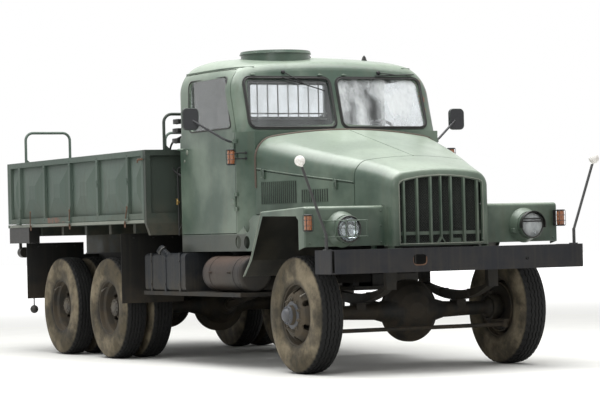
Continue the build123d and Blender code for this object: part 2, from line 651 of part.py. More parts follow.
with BuildPart() as marker_poles:
    for side in (1, -1):
        foot = side * POLE_FOOT_Y
        block((POLE_X - 30, foot - 30 * side if side > 0 else foot - 18, BUMPER_Z1 + FIT),
              (POLE_X + 30, foot + 18 if side > 0 else foot + 30, BUMPER_Z1 + 8))
        rod((POLE_X, foot, BUMPER_Z1 + 4), (POLE_X, foot, POLE_BEND_Z), POLE_R + 2)
        rod((POLE_X, foot, POLE_BEND_Z - 8), (POLE_X, side * POLE_TIP_Y, POLE_TIP_Z), POLE_R)
        with Locations((POLE_X, side * POLE_TIP_Y, POLE_TIP_Z)):
            Sphere(POLE_BALL_R)
save(marker_poles, "marker_poles")

# Engine, radiator and driveline
# Columns: rear end, front end, half width, lowest, highest
ENGINE_BOXES = ((1760.0, 2780.0, 260.0, RAIL_Z0 + 20, 1560.0),
                (1850.0, 2560.0, 200.0, RAIL_Z0 - 20, RAIL_Z0 + 21),
                (1000.0, 1700.0, 190.0, RAIL_Z0 - 110, CAB_Z0 - GAP),
                (1699.0, 1761.0, 150.0, RAIL_Z0 - 60, CAB_Z0 - GAP),
                (2000.0, 2080.0, RAIL_Y, RAIL_Z0 - MOUNT_BAR, RAIL_Z0 - FIT))
RADIATOR_BOXES = ((3080.0, 3160.0, RAIL_Y - 85, RAIL_Z0 + 60, 1560.0),
                  (3040.0, 3081.0, 250.0, 1100.0, 1540.0),
                  (3090.0, 3150.0, RAIL_Y, RAIL_Z1 + FIT, RAIL_Z1 + 20))
TRANSFER_BOXES = ((300.0, 820.0, 220.0, 600.0, 980.0),
                  (520.0, 600.0, RAIL_Y, RAIL_Z0 - MOUNT_BAR, RAIL_Z0 - FIT))
GEARBOX_SHAFT_Z = 780.0
FLANGE_R = 58.0
with BuildPart() as engine_block:
    for x0, x1, half, z0, z1 in ENGINE_BOXES:
        block((x0, -half, z0), (x1, half, z1))
save(engine_block, "engine_block")

with BuildPart() as radiator:
    for x0, x1, half, z0, z1 in RADIATOR_BOXES:
        block((x0, -half, z0), (x1, half, z1))
save(radiator, "radiator")

with BuildPart() as driveline:
    for x0, x1, half, z0, z1 in TRANSFER_BOXES:
        block((x0, -half, z0), (x1, half, z1))
    rod((TRANSFER_BOXES[0][1] - 10, 0, GEARBOX_SHAFT_Z), (ENGINE_BOXES[2][0] - FIT, 0, GEARBOX_SHAFT_Z),
        SHAFT_R)
    # Columns: flange that meets an axle, direction of the shaft, far end's x and z
    for x, way, far_x, far_z in ((FRONT_X + PINION_X, -1, 815, 660), (REAR_X[0] - PINION_X, 1, 310, 700),
                                 (REAR_X[1] - PINION_X, 1, REAR_X[0] - COVER_X - 10, TYRE_R)):
        rod((x + way * FIT, 0, TYRE_R), (x + way * 22, 0, TYRE_R), FLANGE_R)
        rod((x + way * 12, 0, TYRE_R), (far_x, 0, far_z), SHAFT_R)
    rod((REAR_X[0] - COVER_X - 22, 0, TYRE_R), (REAR_X[0] - COVER_X - FIT, 0, TYRE_R), FLANGE_R)
save(driveline, "driveline")

# Fuel tank, air tank and the battery box on their shelves under the cab
with BuildPart() as fuel_tank:
    block((FUEL_X0, -TANK_Y1, SHELF_Z + 6), (FUEL_X1, -TANK_Y0, FUEL_Z1))
    fillet(fuel_tank.edges().filter_by(Axis.X), 40)
    for x in FUEL_STRAPS_X:
        block((x - 16, -TANK_Y1 - 4, SHELF_Z + 6), (x + 16, -TANK_Y0 + 4, FUEL_Z1 + 4))
    neck_foot = Vector(FILLER_X, -TANK_Y1 + 60, FUEL_Z1 - 60)
    neck_end = Vector(FILLER_X - 90, -TANK_Y1 - 10, FUEL_Z1 + 30)
    rod(neck_foot, neck_end, FILLER_R)
    rod(neck_end, neck_end + (neck_end - neck_foot) * 0.16, FILLER_CAP_R)
save(fuel_tank, "fuel_tank")

air_z = SHELF_Z + 6 + AIR_R + 4
with BuildPart() as air_tank:
    rod((AIR_X0, -AIR_Y, air_z), (AIR_X1, -AIR_Y, air_z), AIR_R)
    fillet(air_tank.edges().filter_by(GeomType.CIRCLE), 30)
    for x in (AIR_X0 + 150, AIR_X1 - 150):
        rod((x - 14, -AIR_Y, air_z), (x + 14, -AIR_Y, air_z), AIR_R + 4)
save(air_tank, "air_tank")

with BuildPart() as tank_shelves:
    for side, x0, x1 in ((-1, FUEL_X0 - 40, AIR_X1 + 20), (1, BATTERY_X0 - 40, BATTERY_X1 + 40)):
        block((x0, min(side * RAIL_Y, side * TANK_Y1), SHELF_Z - 30),
              (x1, max(side * RAIL_Y, side * TANK_Y1), SHELF_Z + 6 - FIT))
        for x in (x0 + 60, x1 - 60):
            block((x - 30, min(side * (RAIL_Y + FIT), side * (RAIL_Y + 60)), SHELF_Z),
                  (x + 30, max(side * (RAIL_Y + FIT), side * (RAIL_Y + 60)), RAIL_Z1 - 30))
    block((BATTERY_X0, TANK_Y0, SHELF_Z + 5), (BATTERY_X1, TANK_Y1, SHELF_Z + 330))
save(tank_shelves, "tank_shelves")

# Cab: the domed top turned about a far axis and cut by the raked screen, on the upright lower body
def cab_volume(inset):
    """The cab's closed volume, moved in by inset on every side."""
    with BuildPart() as volume:
        section = arched_face(ROOF_PEAK_X, CAB_HALF - inset, ROOF_Z - inset, ROOF_SHOULDER_R - inset, ROOF_TURN,
                              CAB_TOP_Z0 - 100)
        revolve(section, axis=Axis((ROOF_PEAK_X, 0, ROOF_Z - ROOF_ARC_R), (0, 1, 0)))
        high = ROOF_Z + 60
        side_plate([(CAB_X0 + inset, CAB_TOP_Z0), (CAB_X0 + inset, high),
                    (SCREEN_FOOT_X - SCREEN_RAKE * (high - SCREEN_FOOT_Z) - inset, high),
                    (SCREEN_FOOT_X - SCREEN_RAKE * (CAB_TOP_Z0 - SCREEN_FOOT_Z) - inset, CAB_TOP_Z0)],
                   -CAB_HALF - 60, CAB_HALF + 60, Mode.INTERSECT)
        for end in (-1, 0):
            rim = volume.faces().sort_by(Axis.X)[end].edges().filter_by(lambda e: e.center().Z > CAB_TOP_Z0 + 1)
            fillet(rim, CAB_CORNER_R - inset)
        with BuildSketch(Plane.XY.offset(CAB_Z0 + inset)) as body:
            with BuildLine():
                x0, half = CAB_X0 + inset, CAB_HALF - inset
                Polyline((x0, -half + CAB_REAR_CUT), (x0 + CAB_REAR_CUT, -half), (DOOR_X1 + 20, -half),
                         (COWL_X - inset, -COWL_HALF + inset), (COWL_X - inset, COWL_HALF - inset),
                         (DOOR_X1 + 20, half), (x0 + CAB_REAR_CUT, half), (x0, half - CAB_REAR_CUT), close=True)
            make_face()
        extrude(body.sketch, amount=COWL_Z - CAB_Z0 - 2 * inset)
    return volume.part


def door_prism(grow, depth=CAB_HALF + 60):
    """The door's outline carried across the whole cab."""
    with BuildPart() as prism:
        with BuildSketch(Plane.XZ.offset(-depth)) as sketch:
            with BuildLine():
                Polyline((DOOR_X0 - grow, DOOR_Z0 - grow), (DOOR_X1 + grow, DOOR_Z0 - grow),
                         (DOOR_X1 + grow, DOOR_WAIST_Z + grow), (DOOR_TOP_X + grow, DOOR_TOP_Z + grow),
                         (DOOR_X0 - grow, DOOR_TOP_Z + grow), close=True)
            make_face()
            fillet(sketch.vertices().sort_by(Axis.Y)[-2:], DOOR_R + grow)
        extrude(amount=2 * depth)
    return prism.part


def window_prism(grow):
    """Door window opening carried across the cab."""
    with BuildPart() as prism:
        with BuildSketch(Plane.XZ.offset(-CAB_HALF - 60)) as sketch:
            with BuildLine():
                Polyline((WIN_X0 - grow, WIN_Z0 - grow), (WIN_X1 + grow, WIN_Z0 - grow),
                         (WIN_TOP_X + grow, WIN_Z1 + grow), (WIN_X0 - grow, WIN_Z1 + grow), close=True)
            make_face()
            fillet(sketch.vertices(), 45)
        extrude(amount=2 * CAB_HALF + 120)
    return prism.part


def screen_plane(depth):
    """Plane of the raked windscreen, depth behind its outer face; local x runs to the left, local y up the rake."""
    up = Vector(-SCREEN_RAKE, 0, 1).normalized()
    normal = Vector(1, 0, SCREEN_RAKE).normalized()
    return Plane(origin=Vector(SCREEN_FOOT_X, 0, SCREEN_FOOT_Z) - normal * depth, x_dir=(0, 1, 0),
                 z_dir=Vector(0, 1, 0).cross(up))


def screen_panes(sketch, grow):
    """Both windscreen openings on the raked plane, their feet and heads dropping outwards."""
    for side in (1, -1):
        with BuildLine() as edge:
            Polyline((side * (PANE_Y0 - grow), PANE_FOOT_V[0] - grow),
                     (side * (PANE_FOOT_Y1 + grow), PANE_FOOT_V[1] - grow),
                     (side * (PANE_TOP_Y1 + grow), PANE_TOP_V[1] + grow),
                     (side * (PANE_Y0 - grow), PANE_TOP_V[0] + grow), close=True)
        make_face(edge.edges())
    fillet(sketch.vertices(), PANE_R)


cab_outer = cab_volume(0)
cab_inner = cab_volume(CAB_WALL)
door_hole = door_prism(GAP)
window_hole = window_prism(0)

hatch_pin_x = HATCH_X - HATCH_R - HATCH_LAP - HATCH_PIN_OUT
hatch_pin_z = ROOF_Z + HATCH_RING + FIT + HATCH_PIN_RISE

with BuildPart() as cab_shell:
    add(cab_outer)
    add(cab_inner, mode=Mode.SUBTRACT)
    add(door_hole, mode=Mode.SUBTRACT)
    with BuildSketch(screen_plane(-40)) as panes:
        screen_panes(panes, 0)
    extrude(amount=40 + 2 * CAB_WALL, mode=Mode.SUBTRACT, both=True)
    with BuildSketch(Plane.YZ.offset(CAB_X0 - 10)):
        with Locations((REAR_WIN_Y, (REAR_WIN_Z0 + REAR_WIN_Z1) / 2)):
            RectangleRounded(2 * REAR_WIN_HALF, REAR_WIN_Z1 - REAR_WIN_Z0, REAR_WIN_R)
    extrude(amount=CAB_WALL + 40, mode=Mode.SUBTRACT)
    with Locations((HATCH_X, HATCH_Y, ROOF_Z)):
        Cylinder(HATCH_R, 400, mode=Mode.SUBTRACT)
    with BuildSketch(Plane.XY.offset(ROOF_Z - HATCH_RING_DROP)):
        with Locations((HATCH_X, HATCH_Y)):
            Circle(HATCH_R + 10)
            Circle(HATCH_R, mode=Mode.SUBTRACT)
    extrude(amount=HATCH_RING_DROP + HATCH_RING)
    for y0, y1 in HATCH_LUGS_Y:
        low, high = HATCH_Y + y0, HATCH_Y + y1
        block((hatch_pin_x - 7, low, ROOF_Z - 20), (hatch_pin_x + 7, high, hatch_pin_z))
        rod((hatch_pin_x, low, hatch_pin_z), (hatch_pin_x, high, hatch_pin_z), HATCH_PIN_R + 4)
        rod((hatch_pin_x, low - 1, hatch_pin_z), (hatch_pin_x, high + 1, hatch_pin_z), HATCH_PIN_R + FIT,
            Mode.SUBTRACT)
    for side in (1, -1):
        for z in DOOR_HINGE_Z:
            for z0, z1 in ((z - 80, z - 46), (z + 46, z + 80)):
                rod((DOOR_HINGE_X, side * DOOR_HINGE_Y, z0), (DOOR_HINGE_X, side * DOOR_HINGE_Y, z1), DOOR_HINGE_R)
                block((DOOR_X1 + GAP + 1, min(side * (CAB_HALF - 2), side * (DOOR_HINGE_Y + 3)), z0),
                      (DOOR_X1 + 42, max(side * (CAB_HALF - 2), side * (DOOR_HINGE_Y + 3)), z1))
            rod((DOOR_HINGE_X, side * DOOR_HINGE_Y, z - 80), (DOOR_HINGE_X, side * DOOR_HINGE_Y, z + 80),
                DOOR_HINGE_R - 4)
    lean = Vector(-math.sin(math.radians(WHEEL_LEAN)), 0, math.cos(math.radians(WHEEL_LEAN)))
    hub = Vector(WHEEL_X, WHEEL_Y, WHEEL_Z)
    rod(hub - lean * (40 + FIT), hub - lean * ((COWL_X - 20 - WHEEL_X) / -lean.X), 22)
    dash_half = COWL_HALF - 60
    for x0, x1, z0, z1 in ((-300, -200, *DASH_Z), (-205, -20, DASH_Z[0] + 50, DASH_Z[0] + 80)):
        block((COWL_X + x0, -dash_half, z0), (COWL_X + x1, dash_half, z1))
save(cab_shell, "cab_shell")

with BuildPart() as cab_glass:
    with BuildSketch(screen_plane(CAB_WALL / 2)) as panes:
        screen_panes(panes, -FIT)
    extrude(amount=GLASS_T)
    with BuildSketch(Plane.YZ.offset(CAB_X0 + CAB_WALL / 2)):
        with Locations((REAR_WIN_Y, (REAR_WIN_Z0 + REAR_WIN_Z1) / 2)):
            RectangleRounded(2 * REAR_WIN_HALF - 2 * FIT, REAR_WIN_Z1 - REAR_WIN_Z0 - 2 * FIT, REAR_WIN_R)
    extrude(amount=GLASS_T)
save(cab_glass, "cab_glass")

with BuildPart() as window_bars:
    for i in range(BAR_COUNT):
        y = REAR_WIN_Y + (i - (BAR_COUNT - 1) / 2) * BAR_PITCH
        rod((CAB_X0 + CAB_WALL + 8, y, REAR_WIN_Z0 - 20), (CAB_X0 + CAB_WALL + 8, y, REAR_WIN_Z1 + 20), BAR_R)
    for z in (REAR_WIN_Z0 - 20, REAR_WIN_Z1 + 20, REAR_WIN_Z0 + 30):
        block((CAB_X0 + CAB_WALL + FIT, REAR_WIN_Y - REAR_WIN_HALF - 20, z - BAR_R),
              (CAB_X0 + CAB_WALL + 10, REAR_WIN_Y + REAR_WIN_HALF + 20, z + BAR_R))
save(window_bars, "window_bars")

# Doors, with their mirrors on arms above the hinges
for side_name, side in SIDES:
    with BuildPart() as door:
        add(cab_outer)
        add(cab_inner, mode=Mode.SUBTRACT)
        add(door_prism(0), mode=Mode.INTERSECT)
        block((-9000, min(0, -side * 3000), -9000), (9000, max(0, -side * 3000), 9000), Mode.SUBTRACT)
        add(window_hole, mode=Mode.SUBTRACT)
        for z in DOOR_HINGE_Z:
            rod((DOOR_HINGE_X, side * DOOR_HINGE_Y, z - 45), (DOOR_HINGE_X, side * DOOR_HINGE_Y, z + 45),
                DOOR_HINGE_R)
            block((DOOR_X1 - 70, min(side * (CAB_HALF - 2), side * DOOR_HINGE_Y), z - 30),
                  (DOOR_HINGE_X - 1, max(side * (CAB_HALF - 2), side * DOOR_HINGE_Y), z + 30))
            rod((DOOR_HINGE_X, side * DOOR_HINGE_Y, z - 46), (DOOR_HINGE_X, side * DOOR_HINGE_Y, z + 46),
                DOOR_HINGE_R - 4 + FIT, Mode.SUBTRACT)
        foot = Vector(MIRROR_FOOT_X, side * (CAB_HALF - 8), MIRROR_FOOT_Z)
        elbow = Vector(MIRROR_FOOT_X - 15, side * (CAB_HALF + 70), MIRROR_FOOT_Z + 30)
        head = Vector(MIRROR_X, side * MIRROR_Y, MIRROR_Z)
        rod(foot, elbow, 9)
        rod(elbow, head, 9)
        with BuildSketch(Plane(origin=head - Vector(14, 0, 0), x_dir=(0, 1, 0), z_dir=(1, 0, 0))):
            RectangleRounded(MIRROR_W, MIRROR_H, 40)
        extrude(amount=28)
        rod((DOOR_X0 + 70, side * (CAB_HALF - 4), HANDLE_Z), (DOOR_X0 + 70, side * (CAB_HALF + 42), HANDLE_Z), 10)
        grip_y = side * (CAB_HALF + 38)
        rod((DOOR_X0 + 60, grip_y, HANDLE_Z), (DOOR_X0 + 190, grip_y, HANDLE_Z - 6), 9)
    save(door, f"door_{side_name}")
    with BuildPart() as door_glass:
        add(window_prism(-FIT))
        glass_y = side * (CAB_HALF - DOOR_GLASS_IN)
        block((-9000, -9000, -9000), (9000, glass_y - GLASS_T / 2, 9000), Mode.SUBTRACT)
        block((-9000, glass_y + GLASS_T / 2, -9000), (9000, 9000, 9000), Mode.SUBTRACT)
    save(door_glass, f"door_glass_{side_name}")

with BuildPart() as roof_hatch:
    with BuildSketch(Plane.XY.offset(ROOF_Z + HATCH_RING + FIT)):
        with Locations((HATCH_X, HATCH_Y)):
            Circle(HATCH_R + HATCH_LAP)
    extrude(amount=HATCH_LID, taper=20)
    inner_y = HATCH_LUGS_Y[1][0] - 6
    block((hatch_pin_x, HATCH_Y - inner_y, hatch_pin_z - 5),
          (hatch_pin_x + HATCH_PIN_OUT + HATCH_LAP, HATCH_Y + inner_y, hatch_pin_z + 5))
    outer_y = HATCH_LUGS_Y[1][1] + 2
    rod((hatch_pin_x, HATCH_Y - outer_y, hatch_pin_z), (hatch_pin_x, HATCH_Y + outer_y, hatch_pin_z), HATCH_PIN_R)
save(roof_hatch, "roof_hatch")

# Seats, wheel and column
SEATS_Y = ((130.0, 800.0), (-860.0, -60.0))
# Columns: rear end, front end, lowest, highest, from the box up to the cushion and the backrest
SEAT_BOXES = ((620.0, 1080.0, CAB_Z0 + CAB_WALL, 1380.0), (600.0, 1100.0, 1380.0 + FIT, 1500.0),
              (520.0, 620.0, 1500.0 + FIT, 2020.0))
with BuildPart() as seats:
    for y0, y1 in SEATS_Y:
        for x0, x1, z0, z1 in SEAT_BOXES:
            block((x0, y0, z0), (x1, y1, z1))
save(seats, "seats")

with BuildPart() as steering_wheel:
    hub = Vector(WHEEL_X, WHEEL_Y, WHEEL_Z)
    lean = Vector(-math.sin(math.radians(WHEEL_LEAN)), 0, math.cos(math.radians(WHEEL_LEAN)))
    column = Plane(origin=hub, x_dir=(0, 1, 0), z_dir=lean)
    with BuildSketch(column.offset(-40)):
        Circle(30)
    extrude(amount=60)
    with BuildSketch(Plane(origin=hub, x_dir=lean, z_dir=(0, 1, 0))):
        with Locations((0, WHEEL_RING)):
            Circle(13)
    revolve(axis=Axis(tuple(hub), tuple(lean)))
    for i in range(3):
        a = math.radians(90 + 120 * i)
        tip = hub + column.x_dir * (WHEEL_RING * math.cos(a)) + column.y_dir * (WHEEL_RING * math.sin(a))
        rod(hub, tip, 9)
save(steering_wheel, "steering_wheel")

# Bonnet: sections lofted from the cowl to the nose, hollowed by the sheet's thickness
def bonnet_section(x, half, crown, shoulder_r, turn, inset, foot):
    """One section of the bonnet, moved in by inset."""
    return arched_face(x, half - inset, crown - inset, shoulder_r - inset, turn, foot)


def bonnet_volume(sections, inset, foot, front_r=0):
    """The closed volume through the bonnet's sections, its front edge rounded by front_r."""
    faces = [bonnet_section(*section, inset, foot) for section in sections]
    with BuildPart() as volume:
        loft(faces, ruled=len(sections) == 2)
        if front_r:
            edges = volume.faces().sort_by(Axis.X)[-1].edges()
            fillet(edges.filter_by(lambda e: e.center().Z > foot + 1), front_r)
    return volume.part


def above_fender(keep_offset):
    """Trim the current piece to what lies above the fender's sloping top."""
    rise = Vector(FENDER_X1 - FENDER_X0, 0, FENDER_Z1 - FENDER_Z0).normalized()
    split(bisect_by=Plane(origin=(FENDER_X1, 0, FENDER_Z1 + keep_offset), x_dir=rise,
                          z_dir=Vector(-rise.Z, 0, rise.X)), keep=Keep.TOP)


# Columns: x, half width, crown height, shoulder radius, slope of the crown at the shoulder in degrees
HOOD_SECTIONS = ((HOOD_X0, 914.0, 2052.0, 190.0, 9.0),
                 (2275.0, 772.0, 1914.5, 175.0, 9.0),
                 (HOOD_X1, 570.0, 1777.0, 150.0, 8.0))
NOSE_SECTIONS = ((HOOD_X1 + GAP + 2, 568.0, 1775.0, 150.0, 8.0),
                 (3130.0, 480.0, 1703.0, 140.0, 8.0),
                 (NOSE_SHELL_X1, NOSE_HALF, 1652.0, 130.0, 8.0))
HOOD_CORE = ((HOOD_X0 - 1, *HOOD_SECTIONS[0][1:]), HOOD_SECTIONS[1], (HOOD_X1 + 1, *HOOD_SECTIONS[2][1:]))
# The nose's hollow stops a sheet's thickness behind its front face
NOSE_CORE = ((NOSE_SECTIONS[0][0] - 1, *NOSE_SECTIONS[0][1:]), NOSE_SECTIONS[1],
             (NOSE_SHELL_X1 - HOOD_SHEET, *NOSE_SECTIONS[2][1:]))
# Columns: rear end, front end, top
LOUVRE_GROUPS = ((1780.0, 2230.0, 1600.0), (2285.0, 2585.0, 1520.0))


def hood_side(x):
    """Half width of the bonnet's side at x and its slope in degrees, along the parabola through its sections."""
    (x0, y0), (x1, y1), (x2, y2) = [section[:2] for section in HOOD_SECTIONS]
    first, second = (y1 - y0) / (x1 - x0), (y2 - y1) / (x2 - x1)
    curve = (second - first) / (x2 - x0)
    y = y0 + first * (x - x0) + curve * (x - x0) * (x - x1)
    return y, -math.degrees(math.atan(first + curve * (2 * x - x0 - x1)))


hood_solid = bonnet_volume(HOOD_SECTIONS, 0, SIDE_Z0 - 40)
hood_core = bonnet_volume(HOOD_CORE, HOOD_SHEET, SIDE_Z0 - 60)
seam_slope = (SEAM_Z1 - SEAM_Z0) / (HOOD_X1 - HOOD_X0)
seam_normal = Vector(-seam_slope, 0, 1).normalized()
seam_x = Vector(1, 0, seam_slope).normalized()

for side_name, side in SIDES:
    with BuildPart() as hood:
        add(hood_solid)
        add(hood_core, mode=Mode.SUBTRACT)
        block((0, -5000, 0), (5000, HINGE_GAP, 5000), Mode.SUBTRACT)
        split(bisect_by=Plane(origin=(HOOD_X0, 0, SEAM_Z0), x_dir=seam_x, z_dir=seam_normal), keep=Keep.TOP)
        if side < 0:
            mirror(about=Plane.XZ, mode=Mode.REPLACE)
    save(hood, f"hood_{side_name}")

with BuildPart() as hood_sides:
    add(hood_solid)
    add(hood_core, mode=Mode.SUBTRACT)
    split(bisect_by=Plane(origin=(HOOD_X0, 0, SEAM_Z0 - GAP), x_dir=seam_x, z_dir=seam_normal), keep=Keep.BOTTOM)
    above_fender(FIT)
    # Louvres: an opening for each group, blades turned outwards across it
    for group_x0, group_x1, top_z in LOUVRE_GROUPS:
        block((group_x0, -CAB_HALF, LOUVRE_Z0), (group_x1, CAB_HALF, top_z), Mode.SUBTRACT)
        for i in range(round((group_x1 - group_x0) / LOUVRE_PITCH)):
            x = group_x0 + (i + 0.5) * LOUVRE_PITCH
            y, slope = hood_side(x)
            for side in (1, -1):
                turn = -side * (LOUVRE_TURN + slope)
                with Locations(Location((x, side * (y - 2), (LOUVRE_Z0 + top_z) / 2), (0, 0, turn))):
                    Box(LOUVRE_W, LOUVRE_BLADE, top_z - LOUVRE_Z0 + 8)
    for x in LATCHES_X:
        y, slope = hood_side(x)
        seam_z = SEAM_Z0 + (SEAM_Z1 - SEAM_Z0) * (x - HOOD_X0) / (HOOD_X1 - HOOD_X0) - GAP
        for side in (1, -1):
            with Locations(Location((x, side * (y + 4), seam_z - 36), (0, 0, -side * slope))):
                Box(26, 18, 60)
save(hood_sides, "hood_sides")


# Grille: seven uprights on a backing frame, inside the nose's opening
def grille_opening(grow, mode=Mode.ADD):
    """Arched opening, wide sides and a low crown."""
    h, t = GRILLE_HALF + grow, GRILLE_TOP_HALF + grow
    with BuildLine() as edge:
        Polyline((-t, GRILLE_TOP_Z + grow), (-h, GRILLE_SIDE_Z), (-h, GRILLE_Z0 - grow), (h, GRILLE_Z0 - grow),
                 (h, GRILLE_SIDE_Z), (t, GRILLE_TOP_Z + grow))
        ThreePointArc((t, GRILLE_TOP_Z + grow), (0, GRILLE_CROWN_Z + grow), (-t, GRILLE_TOP_Z + grow))
    make_face(edge.edges(), mode=mode)


with BuildPart() as nose_shell:
    add(bonnet_volume(NOSE_SECTIONS, 0, NOSE_Z0, NOSE_R))
    add(bonnet_volume(NOSE_CORE, HOOD_SHEET, NOSE_Z0 - 20, NOSE_R - HOOD_SHEET), mode=Mode.SUBTRACT)
    side_plate([(HOOD_X1 - 10, 0), (FENDER_X1 + FIT, 0), (FENDER_X1 + FIT, FENDER_Z1 + FIT),
                (HOOD_X1 - 10, FENDER_Z1 + FIT)], -900, 900, Mode.SUBTRACT)
    with BuildSketch(Plane.YZ.offset(NOSE_SHELL_X1 - 100)):
        grille_opening(0)
    extrude(amount=200, mode=Mode.SUBTRACT)
    # The bonnet's centre strip carries the rod that both panels hinge on
    crown = Vector(HOOD_X1 - HOOD_X0, 0, HOOD_SECTIONS[2][2] - HOOD_SECTIONS[0][2])
    along = crown.normalized()
    start = Vector(HOOD_X0, 0, HOOD_SECTIONS[0][2]) - along * (HOOD_X0 - COWL_X - 3)
    strip_plane = Plane(origin=start, x_dir=(0, 1, 0), z_dir=along)
    rod(start, start + crown + along * 10, HINGE_GAP - FIT)
    with BuildSketch(strip_plane) as strip:
        for z0, z1, half in ((-HOOD_SHEET - FIT - 4, -HOOD_SHEET - FIT, 30),
                             (-HOOD_SHEET - FIT - 1, 0, HINGE_GAP - 1)):
            with Locations((0, (z0 + z1) / 2)):
                Rectangle(2 * half, z1 - z0)
    extrude(strip.sketch, amount=crown.length + 36)
    for side in (1, -1):
        foot_in, foot_out = side * (RAIL_Y - RAIL_FLANGE), side * (NOSE_HALF + 1)
        block((NOSE_SHELL_X1 - 110, min(foot_in, foot_out), RAIL_Z1 + FIT),
              (NOSE_SHELL_X1 - 20, max(foot_in, foot_out), RAIL_Z1 + 10))
        block((NOSE_SHELL_X1 - 110, min(side * (NOSE_HALF - 14), foot_out), RAIL_Z1 + FIT),
              (NOSE_SHELL_X1 - 20, max(side * (NOSE_HALF - 14), foot_out), NOSE_Z0 + 20))
save(nose_shell, "nose_shell")

grille_x = NOSE_SHELL_X1 - HOOD_SHEET - FIT
with BuildPart() as grille:
    with BuildSketch(Plane.YZ.offset(grille_x - GRILLE_RING_T)):
        grille_opening(GRILLE_RING_LAP)
        grille_opening(-GRILLE_RING_LAP / 2, Mode.SUBTRACT)
    extrude(amount=GRILLE_RING_T)
    with BuildSketch(Plane.YZ.offset(grille_x - GRILLE_BAR_D)) as bars:
        height = GRILLE_CROWN_Z - GRILLE_Z0
        with Locations(*[(y, GRILLE_Z0 + height / 2) for y in GRILLE_BARS_Y]):
            Rectangle(GRILLE_BAR_W, height)
        with Locations((0, (GRILLE_CROWN_Z + GRILLE_FOOT_Z) / 2)):
            Rectangle(GRILLE_SPINE_W, GRILLE_CROWN_Z - GRILLE_FOOT_Z)
        for side in (1, -1):
            half = GRILLE_SPINE_W / 2
            with BuildLine() as leg:
                Polyline((0, GRILLE_FOOT_Z + 14), (0, GRILLE_FOOT_Z - 8), (side * (GRILLE_FOOT_Y - half), GRILLE_Z0),
                         (side * (GRILLE_FOOT_Y + half), GRILLE_Z0), close=True)
            make_face(leg.edges())
        grille_opening(-FIT, Mode.INTERSECT)
    extrude(bars.sketch, amount=GRILLE_BAR_D + HOOD_SHEET - 1)
    block((grille_x - GRILLE_BAR_D - 10, -GRILLE_HALF, GRILLE_TIE_Z - 14),
          (grille_x - GRILLE_BAR_D + 1, GRILLE_HALF, GRILLE_TIE_Z + 14))
save(grille, "grille")

# Fenders: a bent sheet over the wheel with a rounded front, side lip and slanted rear
def fender_volume(inset):
    """One fender's closed volume, moved in by inset, its front bend and outer rim rounded."""
    tail_run = (FENDER_TAIL[0] - FENDER_KNEE[0]) / (FENDER_TAIL[1] - FENDER_KNEE[1])
    with BuildSketch(Plane.XZ.offset(-FENDER_Y0 - inset)) as section:
        with BuildLine():
            Polyline((FENDER_X1, FENDER_LOW_Z), (FENDER_X1, FENDER_Z1), (FENDER_X0, FENDER_Z0), FENDER_KNEE,
                     (FENDER_TAIL[0] + tail_run * (FENDER_LOW_Z - FENDER_TAIL[1]), FENDER_LOW_Z), close=True)
        make_face()
        if inset:
            offset(amount=-inset, kind=Kind.INTERSECTION, mode=Mode.REPLACE)
    with BuildPart() as volume:
        extrude(section.sketch, amount=FENDER_Y0 - FENDER_Y1 + 2 * inset)
        fillet(volume.edges().filter_by(Axis.Y).sort_by(lambda e: e.center().X + e.center().Z)[-1],
               FENDER_BEND_R - inset)
        rim = volume.faces().sort_by(Axis.Y)[-1].edges().filter_by(lambda e: e.center().Z > FENDER_LOW_Z + inset + 1)
        fillet(rim, FENDER_EDGE_R - inset)
    return volume.part


fender_outer = fender_volume(0)
fender_inner = fender_volume(FENDER_SHEET)
with BuildPart() as fenders:
    t = FENDER_SHEET
    add(fender_outer)
    add(fender_inner, mode=Mode.SUBTRACT)
    side_plate([(FENDER_X1 + 1, FENDER_LOW_Z - 1), (FENDER_X1 + 1, FENDER_NOSE_Z), FENDER_TAIL,
                (FENDER_TAIL[0] - 200, FENDER_LOW_Z - 1)], FENDER_Y0 - 1, FENDER_Y1 + 1, Mode.SUBTRACT)
    side_plate([(FENDER_X1 - FENDER_LIP_FRONT, FENDER_LOW_Z), (FENDER_X1 - FENDER_LIP_FRONT, FENDER_Z1 - 110),
                (FENDER_X1 - 150, FENDER_Z1 - FENDER_LIP), (FENDER_X0 + 34, FENDER_Z0 - FENDER_LIP_REAR),
                (FENDER_KNEE[0] + 34, FENDER_KNEE[1]), (FENDER_TAIL[0] + 30, FENDER_TAIL[1] - 1),
                (FENDER_TAIL[0] + 30, FENDER_LOW_Z)], FENDER_Y1 - FENDER_EDGE_R - 4, FENDER_Y1 + 1, Mode.SUBTRACT)
    block((FENDER_TAIL[0] - 50, FENDER_Y0 - 1, FENDER_LOW_Z), (FENDER_X1 - t - 1, FENDER_TAIL_Y0, FENDER_NOSE_Z),
          Mode.SUBTRACT)
    block((STAY_X[0], RAIL_Y + FIT, RAIL_Z1 - 40), (STAY_X[1], FENDER_Y0 + t, FENDER_NOSE_Z + 20))
    side_plate([(1330, CAB_Z0), (DOOR_X1 + 30, 1160), (1830, 1315), (2180, 1315), (2120, 1100), (2040, CAB_Z0)],
               CAB_HALF, CAB_HALF + t)
    for x, z in KICK_HOLES:
        with Locations((x, CAB_HALF, z)):
            Cylinder(KICK_HOLE_R, 40, rotation=(90, 0, 0), mode=Mode.SUBTRACT)
    mirror(about=Plane.XZ)
save(fenders, "fenders")

